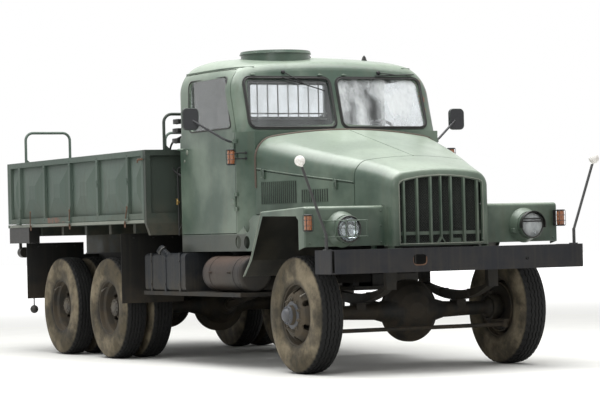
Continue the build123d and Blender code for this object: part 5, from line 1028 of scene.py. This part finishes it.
def screen_ring(y, z, half_w, half_h, corner):
    """A window outline on the raked screen plane: centre + o_x * Y + o_y * the way up the rake."""
    outline = round_rect(2 * half_w, 2 * half_h, corner, 7)
    centre = np.array([screen_x(z), y, z])
    return centre + outline[:, :1] * Y + outline[:, 1:] * unit((SCREEN_RAKE, 0, 1))


# Bonnet and nose
COWL_CENTRE = (1.712, 0, 1.50)
BONNET_REAR_X = 1.700


def bonnet_foot(x):
    """Height of a bonnet half's lower edge: a straight line that falls towards the nose."""
    return 1.710 + (x - BONNET_REAR_X) * (1.556 - 1.710) / 1.150


def cowl_bead():
    """Rubber welt between bonnet and cab, where rays from a wide ellipse to its centre meet the bonnet."""
    t = np.linspace(math.radians(4), math.radians(176), 60)
    starts = np.stack([np.full(60, COWL_CENTRE[0]), 1.6 * np.cos(t), COWL_CENTRE[2] + 1.3 * np.sin(t)], -1)
    out = []
    tree = surface_of(HOODS)
    for start in starts:
        towards = Vector(COWL_CENTRE) - Vector(start)
        hit = tree.ray_cast(Vector(start), towards.normalized())[0]
        if hit is not None:
            out.append(np.array(hit) + [-0.006, 0, 0])
    return [tube(out, 0.0125, 10)]


def bonnet_seam(side):
    """Rolled lip along the foot of each bonnet half."""
    x = np.linspace(1.720, 2.840, 24)
    points = np.stack([x, np.full(24, side * 1.3), bonnet_foot(x) + 0.010], -1)
    return [tube(laid_on(points, (0, -side, 0), HOODS, 0.002), 0.0045, 6)]


def bonnet_latch(side, x):
    """Over-centre catch: backplate, hooked lever and its pin."""
    at = laid_on([(x, side * 1.3, bonnet_foot(x) - 0.030)], (0, -side, 0), HOODS)[0]
    out = np.array([0, side, 0])
    parts = [plate(round_rect(0.030, 0.075, 0.006), 0.004, at - 0.001 * out, X * side, Z, 0.001)]
    hook = [at + 0.008 * out + [0, 0, -0.030], at + 0.016 * out, at + 0.010 * out + [0, 0, 0.048]]
    parts.append(tube(bend(hook, 0.02, 6), 0.0058, 8))
    parts.append(tube([at + 0.010 * out + [dx, 0, -0.026] for dx in (-0.017, 0.017)], 0.0045, 8))
    return parts


def hood_half(x):
    """Half width of the bonnet's upright side: a parabola through its three sections."""
    first, second = (0.772 - 0.914) / 0.575, (0.570 - 0.772) / 0.575
    curve = (second - first) / 1.150
    return 0.914 + first * (x - BONNET_REAR_X) + curve * (x - BONNET_REAR_X) * (x - 2.275)


def louvre_lips(side, share):
    """Rolled lips (share 0), or dark tubes beside them (share 1) as painted shade in the louvres' gaps, one
    pair per pitch.
    """
    parts = []
    for x0, x1, top in ((1.780, 2.230, 1.596), (2.285, 2.585, 1.516)):
        for x in np.arange(x0 + 0.0025 + 0.011 * share, x1, 0.025):
            y = side * (hood_half(x) + 0.0045 - 0.0025 * share)
            parts.append(tube(span((x, y, 1.412), (x, y, top), 3), 0.0044 - 0.0006 * share, 8))
    return parts


def nose_beads(side):
    """Twin pressed beads where the nose meets the fender, and the fixing bolts of the face."""
    parts = []
    for y in (0.452, 0.463):
        points = span((3.6, side * y, 1.031), (3.6, side * y, 1.350), 22)
        parts.append(tube(laid_on(points, (-1, 0, 0), NOSE, 0.0005), 0.0042, 6))
    for y, z in ((0.390, 1.072), (0.498, 1.066), (0.498, 1.200), (0.498, 1.320), (1.150, 1.070)):
        for spot in laid_on([(3.6, side * y, z)], (-1, 0, 0), NOSE):
            parts.append(bolt(spot, X, 0.0075, 0.006))
            parts.append(lathe([(-0.0005, 0.011), (0.0015, 0.011), (0.002, 0.0095)], spot, X, 16))
    return parts


def fender_edge(side):
    """Rolled wire edge of the fender, worn pale along its slanted rear."""
    path = [(x, side * 1.1935, z) for x, z in ((2.372, 1.335), (2.152, 0.943), (2.003, 0.799))]
    return [tube(bend(path, 0.05, 8), 0.0052, 8)]


piece("cowl_bead", cowl_bead(), "root", "brown_rubber")
for side_name, side in SIDES:
    latches = bonnet_latch(side, 1.822) + bonnet_latch(side, 2.670)
    piece(f"bonnet_latches_{side_name}", bonnet_seam(side) + latches, f"hood_{side_name}", "body_green")
piece("louvre_lips", louvre_lips(1, 0) + louvre_lips(-1, 0), "root", "body_green")
# Painted shade: dark tubes in the louvres' gaps
piece("louvre_gap_shade", louvre_lips(1, 1) + louvre_lips(-1, 1), "root", "dark_mesh")
piece("nose_beads", nose_beads(1) + nose_beads(-1), "root", "body_green")
piece("fender_edges", fender_edge(1) + fender_edge(-1), "root", "worn_edge")


# Cab openings
PANE_Y, PANE_Z = 0.454, 2.300
PANE_HALF_W, PANE_HALF_H = 0.418, 0.229


def screen_seals():
    """Two rubber beads round each front pane, the outer one wider by 14 mm."""
    parts = []
    for y in (-PANE_Y, PANE_Y):
        inner = screen_ring(y, PANE_Z, PANE_HALF_W, PANE_HALF_H, 0.060)
        outer = screen_ring(y, PANE_Z, PANE_HALF_W + 0.014, PANE_HALF_H + 0.014, 0.070)
        parts.append(tube(inner + [0.008, 0, 0], 0.0085, 8, True))
        parts.append(tube(outer + [0.004, 0, 0], 0.0055, 6, True))
    return parts


def pane_clamps():
    """Clamps over the heads of the panes: a round boss and a short cross pin."""
    parts = []
    for y in (-0.78, -0.12, 0.12, 0.78):
        for spot in laid_on([(2.4, y, 2.548)], (-1, 0, 0), CAB):
            parts.append(lathe([(-0.002, 0.012), (0.010, 0.012), (0.012, 0.009)], spot, (1, 0, 0.2), 16))
            parts.append(tube([spot + [0.012, -0.024, 0], spot + [0.014, 0.024, 0]], 0.0055, 8))
    return parts


def wiper(pivot_y, heel, tip):
    """Wiper: domed pivot, bent arm and rubber blade in its channel."""
    pivot = laid_on([(2.4, pivot_y, 2.574)], (-1, 0, 0), CAB)[0]
    line = [np.array([screen_x(z) + 0.020, y, z]) for y, z in (heel, tip)]
    middle = (line[0] + line[1]) / 2
    elbow = pivot * 0.5 + middle * 0.5 + [0.022, 0, 0]
    return [lathe([(-0.003, 0.018), (0.012, 0.018), (0.018, 0.013), (0.021, 0.006)], pivot, X, 20),
            tube(bend([pivot + [0.012, 0, 0], elbow, middle + [0.010, 0, 0]], 0.05), 0.0042, 8),
            tube(line, 0.0052, 8), tube([p - [0.008, 0, 0] for p in line], 0.0028, 6)]


def drip_rail(side):
    """Rain gutter along the roof's edge above the door."""
    points = span((0.34, side * 1.5, 2.618), (1.40, side * 1.5, 2.618), 30)
    return [tube(laid_on(points, (0, -side, 0), CAB, 0.004), 0.0075, 8)]


def door_seal(side):
    """Rubber round the door's window on its outer face, a little outside the opening's rounded outline."""
    outline = ((0.550, 2.090), (1.410, 2.090), (1.265, 2.530), (0.550, 2.530))
    corners = [np.array([x, side * 1.03, z]) for x, z in outline]
    start = (corners[0] + corners[3]) / 2
    path = bend([start] + corners + [start], 0.050, 8)[:-1]
    centre = np.mean(corners, 0)
    path = centre + (path - centre) * [1.022, 1, 1.035]
    return [tube(laid_on(path, (0, -side, 0), (f"door_{side_word(side)}",), 0.002), 0.0065, 8, True)]


def door_fittings(side):
    """Handle's rose, lock and the hinge leaves' bolts."""
    door, out, parts = (f"door_{side_word(side)}",), (0, side, 0), []
    for x, z, radius in ((0.475, 1.906, 0.022), (0.420, 1.830, 0.013)):
        for spot in laid_on([(x, side * 1.4, z)], (0, -side, 0), door):
            parts.append(lathe([(-0.001, radius), (0.003, radius), (0.005, radius * 0.8)], spot, out, 24))
    leaves = [(x, side * 1.4, z) for z in (1.418, 1.878) for x in (1.415, 1.450)]
    rows = [(x, y, z + dz) for x, y, z in leaves for dz in (0, 0.044)]
    return parts + [bolt(spot, out, 0.0062, 0.005) for spot in laid_on(rows, (0, -side, 0), door)]


piece("screen_seals", screen_seals(), "root", "seal_rubber")
piece("pane_clamps", pane_clamps(), "root", "body_green")
wipers = wiper(-0.477, (-0.50, 2.525), (-0.10, 2.406)) + wiper(0.477, (0.43, 2.545), (0.828, 2.560))
piece("wipers", wipers, "root", "guard_steel")
piece("drip_rails", drip_rail(1) + drip_rail(-1), "root", "body_green")
for side_name, side in SIDES:
    piece(f"door_seal_{side_name}", door_seal(side), f"door_{side_name}", "seal_rubber")
    piece(f"door_fittings_{side_name}", door_fittings(side), f"door_{side_name}", "worn_edge")


def antenna_foot():
    """Ribbed rubber foot of the rod antenna at the roof's left."""
    ribbed = [(-0.004, 0.026), (0.006, 0.026), (0.010, 0.020), (0.018, 0.021), (0.022, 0.016), (0.030, 0.017),
              (0.034, 0.012), (0.045, 0.008)]
    return [lathe(ribbed, laid_on([(0.95, 0.58, 3.2)], (0, 0, -1), CAB)[0], Z, 24)]


def hatch_knobs():
    """Knobs beside the roof hatch."""
    knob = [(-0.002, 0.014), (0.008, 0.014), (0.012, 0.010), (0.018, 0.010), (0.020, 0.007)]
    spots = laid_on([(0.95, -0.629, 3.2), (0.95, 0.017, 3.2)], (0, 0, -1), CAB)
    return [lathe(knob, spot, Z, 18) for spot in spots]


piece("antenna_foot", antenna_foot(), "root", "seal_rubber")
piece("hatch_knobs", hatch_knobs(), "root", "seal_rubber")

# Cargo bed
POSTS_X = (-3.230, -2.520, -1.820, -1.100, -0.350)
STRAP_Y = 1.2665
LATCH_Y, LATCH_Z = 1.2640, 1.864


def side_strap(x_top, x_foot, side):
    """Rusty tie strap hooked over the lower rail, with its ring and foot plate."""
    top = np.array([x_top, side * STRAP_Y, 1.418])
    foot = np.array([x_foot, side * STRAP_Y, 1.272])
    plate_at = foot + [0, -side * 0.006, 0]
    return [tube(span(top, foot, 6), 0.0052, 6), torus(top + [0, 0, 0.012], Y, 0.013, 0.0036, 24, 6),
            plate(round_rect(0.034, 0.050, 0.006), 0.003, plate_at, X * side, Z, 0.001)]


def side_cleats(side):
    """Rope cleats between the posts: a stem with two horns, bolted through."""
    starts = [(x, side * 1.6, 1.672) for x in (-2.489, -1.777, -1.076, -0.335)]
    out, parts = np.array([0, side, 0]), []
    for spot in laid_on(starts, (0, -side, 0), (f"drop_side_{side_word(side)}",)):
        low, high = spot + 0.012 * out + [0, 0, -0.034], spot + 0.012 * out + [0, 0, 0.034]
        parts.append(lathe([(-0.001, 0.012), (0.004, 0.012), (0.006, 0.006), (0.012, 0.005)], spot, out, 14))
        parts.append(tube(bend([low, spot + 0.008 * out, high], 0.02), 0.0050, 8))
    return parts


def post_bolts(side):
    """Two bolts at the head and two at the foot of every post."""
    head = [(-0.001, 0.0095), (0.002, 0.0090), (0.0045, 0.0055), (0.005, 0.002)]
    starts = [(x, side * 1.6, z) for x in POSTS_X for z in (1.352, 1.392, 1.872, 1.912)]
    spots = laid_on(starts, (0, -side, 0), (f"drop_side_{side_word(side)}",))
    return [lathe(head, spot, (0, side, 0), 12) for spot in spots]


def corner_latch(side):
    """Spring latch at the front corner: rod with a turned-up handle in two eyes."""
    y = side * LATCH_Y
    rod = bend([(0.060, y, LATCH_Z), (-0.060, y, LATCH_Z), (-0.060, y, LATCH_Z - 0.029)], 0.012)
    eyes = [lathe([(-0.008, 0.0105), (0.008, 0.0105)], (x, y, LATCH_Z), X, 14) for x in (-0.020, 0.030)]
    return [tube(rod, 0.0060, 8)] + eyes


for side_name, side in SIDES:
    body = f"drop_side_{side_name}"
    straps = []
    for x_top, x_foot in ((-0.329, -0.397), (-1.785, -1.803), (-2.880, -2.889)):
        straps += side_strap(x_top, x_foot, side)
    piece(f"side_fittings_{side_name}", side_cleats(side) + post_bolts(side), body, "bed_green")
    piece(f"side_straps_{side_name}", straps, body, "rusty_steel")
    piece(f"corner_latch_{side_name}", corner_latch(side), "root", "rusty_steel")


def floor_battens():
    """Narrow battens over the joints of the floor boards."""
    return [slab((-3.515, y - 0.008, 1.3112), (0.035, y + 0.008, 1.3145), 0.001)
            for y in np.linspace(-1.05, 1.05, 8)]


def floor_edge(side):
    """Worn steel angle along the floor's edge with its rivets."""
    low, high = sorted((side * 1.2498, side * 1.2520))
    rivet = [(0, 0.0075), (0.002, 0.0065), (0.0035, 0.003)]
    rivets = [lathe(rivet, (x, side * 1.2518, 1.297), (0, side, 0), 10) for x in np.arange(-3.45, 0.02, 0.29)]
    return [slab((-3.530, low, 1.283), (0.040, high, 1.310), 0.0006)] + rivets


piece("floor_battens", floor_battens(), "root", "bed_boards")
piece("floor_edges", floor_edge(1) + floor_edge(-1), "root", "worn_edge")


# Behind the cab: blocks on the bulkhead, a looped pipe, a bracket and a valve
def bulkhead_blocks():
    """Three small blocks on the cab's back at its right corner, each with a strap."""
    parts = []
    for x, z in ((0.128, 2.202), (0.114, 2.118), (0.102, 2.027)):
        parts.append(slab((x + 0.004, -0.985, z - 0.022), (x + 0.120, -0.925, z + 0.022), 0.004))
        parts.append(tube([(x + 0.030, -0.955, z - 0.025), (x + 0.030, -0.955, z + 0.025)], 0.007, 8))
    return parts


def stay_bracket():
    """Bent flat bar and its stay from the bulkhead down to the frame."""
    path = bend([(0.245, -0.940, 1.790), (0.150, -0.952, 1.775), (0.160, -0.955, 1.160)], 0.03)
    return [tube(path, 0.0085, 6), tube([(0.163, -0.955, 1.212), (0.252, -0.945, 1.300)], 0.0060, 6)]


def air_valve():
    """Brass-coloured tap on the bracket: barrel, spout and wing."""
    at = np.array([0.150, -0.962, 1.465])
    barrel = [(-0.026, 0.008), (-0.022, 0.013), (0.016, 0.013), (0.020, 0.009), (0.028, 0.009)]
    return [lathe(barrel, at, Z, 16),
            lathe([(0.0, 0.009), (0.024, 0.008), (0.026, 0.010), (0.032, 0.010)], at, X, 14),
            tube([at + [0, -0.018, 0.030], at + [0, 0.018, 0.030]], 0.004, 8)]


def air_pipe():
    """Formed air pipe from the bulkhead in a loop toward the bed and back."""
    path = [(0.235, -0.948, 2.060), (0.060, -0.952, 2.030), (-0.020, -0.955, 1.960), (0.045, -0.955, 1.750),
            (0.235, -0.948, 1.700)]
    return [tube(bend(path, 0.12, 9), 0.0090, 10)]


piece("bulkhead_blocks", bulkhead_blocks(), "root", "lamp_black")
piece("stay_bracket", stay_bracket(), "root", "guard_steel")
piece("air_valve", air_valve(), "root", "brass")
piece("air_pipe", air_pipe(), "root", "hose_rubber")


# Tanks
FILLER_CAP = np.array([0.150, -1.130, 1.030])
FILLER_NECK = np.array([0.240, -1.060, 0.940])
AIR_TANK_Y, AIR_TANK_Z = -0.960, 0.815


def tank_strap_bolts():
    """Tension bolts on the straps of the fuel tank."""
    spots = [(x, -1.1235, z) for x in (-0.120, 0.200, 0.520) for z in (0.930, 0.720)]
    return [bolt(spot, (0, -1, 0), 0.008, 0.008) for spot in spots]


def filler_cap():
    """Ribbed cap at the end of the slanted filler neck: radius = 44.5 mm + 1 mm * cos(24 * angle)."""
    axis = unit(FILLER_CAP - FILLER_NECK)
    u, v = across(axis)
    t = np.linspace(0, 2 * math.pi, 72, endpoint=False)
    radius = 0.0445 + 0.0010 * np.cos(24 * t)
    circle = np.cos(t)[:, None] * u + np.sin(t)[:, None] * v
    layers = [(-0.016, 0.96), (-0.014, 1.0), (0.002, 1.0), (0.0045, 0.95), (0.0050, 0.5), (0.0052, 0.02)]
    return [rings(np.array([FILLER_CAP + a * axis + k * radius[:, None] * circle for a, k in layers]))]


def air_tank_bands():
    """Two bands round the air tank, the weld beads at its ends and two plugs on its outer side."""
    band = [(-0.016, 0.1500), (-0.016, 0.1555), (-0.014, 0.1575), (0.014, 0.1575), (0.016, 0.1555),
            (0.016, 0.1500), (-0.016, 0.1500)]
    plug = [(0, 0.012), (0.016, 0.012), (0.018, 0.009), (0.028, 0.009), (0.030, 0.006)]
    parts = [lathe(band, (x, AIR_TANK_Y, AIR_TANK_Z), X, 48) for x in (1.130, 1.610)]
    parts += [torus((x, AIR_TANK_Y, AIR_TANK_Z), X, 0.1545, 0.0030, 56, 6) for x in (1.020, 1.720)]
    parts += [lathe(plug, (x, AIR_TANK_Y - 0.1530, 0.830), (0, -1, 0), 6) for x in (1.180, 1.560)]
    return parts


piece("tank_strap_bolts", tank_strap_bolts(), "root", "guard_steel")
piece("filler_cap", filler_cap(), "root", "lamp_black")
piece("air_tank_bands", air_tank_bands(), "root", "tank_brown")


# Bumper
def bumper_ring():
    """Hook ring over the bumper's slot."""
    loop = ((-0.450, 0.945), (-0.452, 0.880), (-0.388, 0.872), (-0.324, 0.880), (-0.322, 0.945))
    return [tube(bend([(3.592, y, z) for y, z in loop], 0.03, 6), 0.0072, 10)]


piece("bumper_ring", bumper_ring(), "root", "rusty_steel")


# Tail
def tail_rod(side):
    """Width rod that hangs from the tail with a ball at its foot."""
    at = np.array([-3.121, side * 1.155, 0.0])
    rod = tube(span(at + [0, 0, 0.478], at + [0, 0, 0.900], 4), 0.007, 8)
    return [rod, ball(at + [0, 0, 0.440], 0.042, 0.05, 17, 28)]


def tail_lens(side):
    """Round red lens with its rim on each tail lamp."""
    lens = [(0.0, 0.001), (0.0005, 0.020), (0.003, 0.040), (0.007, 0.0465), (0.012, 0.0465), (0.012, 0.001)]
    return [lathe(lens, (-3.5895, side * 1.100, 1.025), X, 32)]


def flap_bolts(side):
    """Fixing bolts along the head of each mud guard."""
    starts = [(x, side * y, z) for x, z in ((-0.280, 1.150), (-2.810, 1.085)) for y in (0.70, 0.90, 1.10)]
    return [bolt(spot, X, 0.009, 0.008) for spot in laid_on(starts, (-1, 0, 0), ("mud_guards",))]


piece("tail_rods", tail_rod(1) + tail_rod(-1), "root", "guard_steel")
piece("tail_lenses", tail_lens(1) + tail_lens(-1), "root", "red_lens")
piece("flap_bolts", flap_bolts(1) + flap_bolts(-1), "root", "guard_steel")


# Underside
def spring_clips():
    """Rebound clips round the leaves of the front springs."""
    starts = [(x, side * 0.480, 1.2) for side in (1, -1) for x in (2.46, 2.94)]
    return [slab(spot + [-0.014, -0.046, -0.058], spot + [0.014, 0.046, 0.004], 0.002)
            for spot in laid_on(starts, (0, 0, -1), ("leaf_springs",))]


piece("spring_clips", spring_clips(), "root", "chassis_black")


# Cab interior
def gauge(y, z, radius):
    """Dial: bezel ring, recessed face and a needle."""
    at = np.array([1.391, y, z])
    bezel = [(0.0, radius), (0.008, radius), (0.010, radius * 0.93), (0.006, radius * 0.88), (0.004, 0.001)]
    needle = [at - [0.007, 0, 0], at - [0.007, -radius * 0.5, -radius * 0.45]]
    return [lathe(bezel, at, (-1, 0, 0), 32), tube(needle, 0.0014, 5)]


def levers():
    """Gear lever and two shorter ones with ball knobs, each in a gaiter."""
    parts = []
    gaiter = [(0, 0.050), (0.012, 0.046), (0.018, 0.036), (0.030, 0.034), (0.040, 0.022), (0.055, 0.012)]
    for x, y, high in ((1.240, 0.060, 0.430), (1.140, 0.020, 0.300), (1.140, 0.100, 0.280)):
        foot = np.array([x, y, 1.050])
        top = foot + [-0.09, 0, high]
        parts.append(tube(bend([foot, foot + [0.0, 0, high * 0.5], top], 0.1), 0.0075, 8))
        parts.append(ball(top, 0.024, 0.06, 11, 20))
        parts.append(lathe(gaiter, foot, Z, 20))
    return parts


gauges = []
for y, z, radius in ((0.480, 1.880, 0.052), (0.350, 1.885, 0.036), (0.610, 1.885, 0.036),
                     (0.240, 1.890, 0.026), (0.700, 1.890, 0.026)):
    gauges += gauge(y, z, radius)
piece("gauges", gauges, "root", "wheel_bakelite")
piece("levers", levers(), "root", "wheel_bakelite")


def cushion(low, high, crown, tufts):
    """Closed stuffed form: a squared-off ellipsoid, its broad face crowned and drawn in along channels.

    x, y, z = centre + half * signed powers of the sines and cosines of two angles. The broad face is lifted
    by crown * (1 - x^4) * (1 - y^4), and tufts cuts a shallow groove every tenth of a metre of width.
    """
    low, high = np.asarray(low, float), np.asarray(high, float)
    centre, half = (low + high) / 2, (high - low) / 2
    a = np.linspace(-math.pi / 2 + 0.03, math.pi / 2 - 0.03, 40)[:, None]
    b = np.linspace(0, 2 * math.pi, 120, endpoint=False)[None]
    x = signed_power(np.cos(a), 0.30) * signed_power(np.cos(b), 0.22)
    y = signed_power(np.cos(a), 0.30) * signed_power(np.sin(b), 0.22)
    z = signed_power(np.sin(a), 0.42) + 0 * b
    rise = crown * (1 - x ** 4) * (1 - y ** 4) * np.sign(z) - crown
    groove = 0.004 * tufts * np.exp(-((y * half[1] * 10 + 0.5) % 1 - 0.5) ** 2 / 0.006) * (z > 0)
    points = np.stack([centre[0] + half[0] * x, centre[1] + half[1] * y,
                       centre[2] + half[2] * z + rise * (z > 0) * 0.9 - groove], -1)
    return rings(points)


def seat_boxes():
    """Sheet-metal boxes under the cushions."""
    spans = ((0.140, 0.790), (-0.850, -0.070))
    return [slab((0.62, y0, 1.044), (1.08, y1, 1.384), 0.006) for y0, y1 in spans]


def back_cushion(y0, y1):
    """The seat back: the same stuffed form stood upright."""
    points, faces = cushion((1.500, y0, -0.120), (2.020, y1, 0.0), 0.012, 1.0)
    return np.stack([0.500 - points[:, 2], points[:, 1], points[:, 0]], -1), faces


piece("seat_boxes", seat_boxes(), "root", "lamp_black", replaces=("seats",))
for label, (y0, y1) in {"driver": (0.130, 0.800), "bench": (-0.860, -0.060)}.items():
    seat = cushion((0.600, y0, 1.380), (1.100, y1, 1.500), 0.012, 1.0)
    for kind, part in (("cushion", seat), ("back", back_cushion(y0, y1))):
        piece(f"seat_{kind}_{label}", [part], "root", "seat_cover")


# Mirrors
MIRROR_Y, MIRROR_Z = 1.334, 2.164


def mirror_shell(side):
    """Black plastic shell over the mirror's head."""
    outline = round_rect(0.1535, 0.1935, 0.041, 7)
    return plate(outline, 0.0315, (1.28425, side * MIRROR_Y, MIRROR_Z), Y, Z, 0.006)


def mirror_face(side):
    """Mirror glass, a round-cornered sheet on the rear of the shell."""
    outline = round_rect(0.138, 0.178, 0.036, 7)
    return plate(outline, 0.002, (1.2825, side * MIRROR_Y, MIRROR_Z), Y, Z, 0.0005)


def mirror_arm(side):
    """Black sleeve over the mirror's arm, bent once."""
    path = [(1.436, side * 1.008, 1.957), (1.425, side * 1.070, 1.980), (1.304, side * 1.325, 2.157)]
    return tube(bend(path, 0.02, 6), 0.0105, 10)


for side_name, side in SIDES:
    piece(f"mirror_arm_{side_name}", [mirror_arm(side)], f"door_{side_name}", "mirror_black")
    piece(f"mirror_shell_{side_name}", [mirror_shell(side)], f"door_{side_name}", "mirror_black")
    piece(f"mirror_face_{side_name}", [mirror_face(side)], f"door_{side_name}", "mirror_glass")


# Floor, light and camera
def pale_floor():
    """A wide flat disc under the wheels: (r cos t, r sin t, 0); far out it glows pale to the camera."""
    s = material("studio_floor")
    grain = s.noise(2.5, 5)
    spot = s.add("VectorMath", {0: s.add("TexCoord").outputs["Object"]}, operation="LENGTH").outputs["Value"]
    far = s.times(s.ramp(spot, 4.0, 26.0), s.add("LightPath").outputs["Is Camera Ray"])
    made = surface(s, s.mix(grain, srgb(226, 226, 222), srgb(238, 238, 234)),
                   s.math("ADD", 0.8, s.times(grain, 0.1)), grain, 0.001, Emission_Color=(1, 1, 1, 1))
    s.tree.links.new(far, made.inputs["Emission Strength"])
    radii = np.linspace(0.5, 90, 30)
    turn = np.linspace(0, 2 * math.pi, 64, endpoint=False)
    points = np.stack([radii[:, None] * np.cos(turn), radii[:, None] * np.sin(turn), np.zeros((30, 64))], -1)
    faces = grid_faces(30, 64, False, True) + [list(range(64))]
    mesh = bpy.data.meshes.new("studio_floor")
    mesh.from_pydata(points.reshape(-1, 3), [], faces)
    made = bpy.data.objects.new("studio_floor", mesh)
    bpy.context.scene.collection.objects.link(made)
    mesh.materials.append(MATERIALS["studio_floor"])


def soft_lamp(name, at, target, width, height, power):
    """A large soft lamp that looks at a point."""
    data = bpy.data.lights.new(name, "AREA")
    data.shape, data.size, data.size_y, data.energy = "RECTANGLE", width, height, power
    made = bpy.data.objects.new(name, data)
    made.location = at
    made.rotation_mode = "QUATERNION"
    made.rotation_quaternion = (Vector(target) - Vector(at)).to_track_quat("-Z", "Y")
    bpy.context.scene.collection.objects.link(made)


def studio_world():
    """White to the camera and in reflections, dimmer as light."""
    world = bpy.data.worlds.new("studio")
    world.use_nodes = True
    world.node_tree.nodes.clear()
    s = Shader(world.node_tree)
    path = s.add("LightPath")
    seen = s.math("MAXIMUM", path.outputs["Is Camera Ray"],
                  s.math("MAXIMUM", path.outputs["Is Glossy Ray"], path.outputs["Is Transmission Ray"]))
    strength = s.math("ADD", 0.40, s.times(seen, 0.60))
    white = s.add("Background", {"Color": (1, 1, 1, 1), "Strength": strength})
    s.add("OutputWorld", {"Surface": white.outputs[0]})
    bpy.context.scene.world = world


def photo_camera():
    """The camera that took the photograph, from its place, heading and focal length."""
    ca, sa = math.cos(CAMERA_AZIMUTH), math.sin(CAMERA_AZIMUTH)
    ce, se = math.cos(CAMERA_RISE), math.sin(CAMERA_RISE)
    ahead = np.array([-ca * ce, sa * ce, se])
    right = unit(np.cross(ahead, Z))
    up = np.cross(right, ahead)
    cr, sr = math.cos(CAMERA_ROLL), math.sin(CAMERA_ROLL)
    axes = np.stack([cr * right + sr * up, -sr * right + cr * up, -ahead], -1)
    data = bpy.data.cameras.new("photo_camera")
    data.sensor_width = SENSOR_W
    data.lens = FOCAL_PIXELS / IMAGE_W * SENSOR_W
    data.clip_end = 500
    made = bpy.data.objects.new("photo_camera", data)
    bpy.context.scene.collection.objects.link(made)
    matrix = np.eye(4)
    matrix[:3, :3], matrix[:3, 3] = axes, CAMERA_AT
    made.matrix_world = Matrix(matrix.tolist())
    bpy.context.scene.camera = made


pale_floor()
soft_lamp("overhead", (1.0, -1.0, 9.0), (0.5, 0, 1.0), 12, 9, 1700)
soft_lamp("front_key", (11.0, -9.0, 6.0), (0.5, 0, 1.2), 6, 5, 300)
studio_world()
photo_camera()
bpy.context.scene.view_settings.view_transform = "Standard"
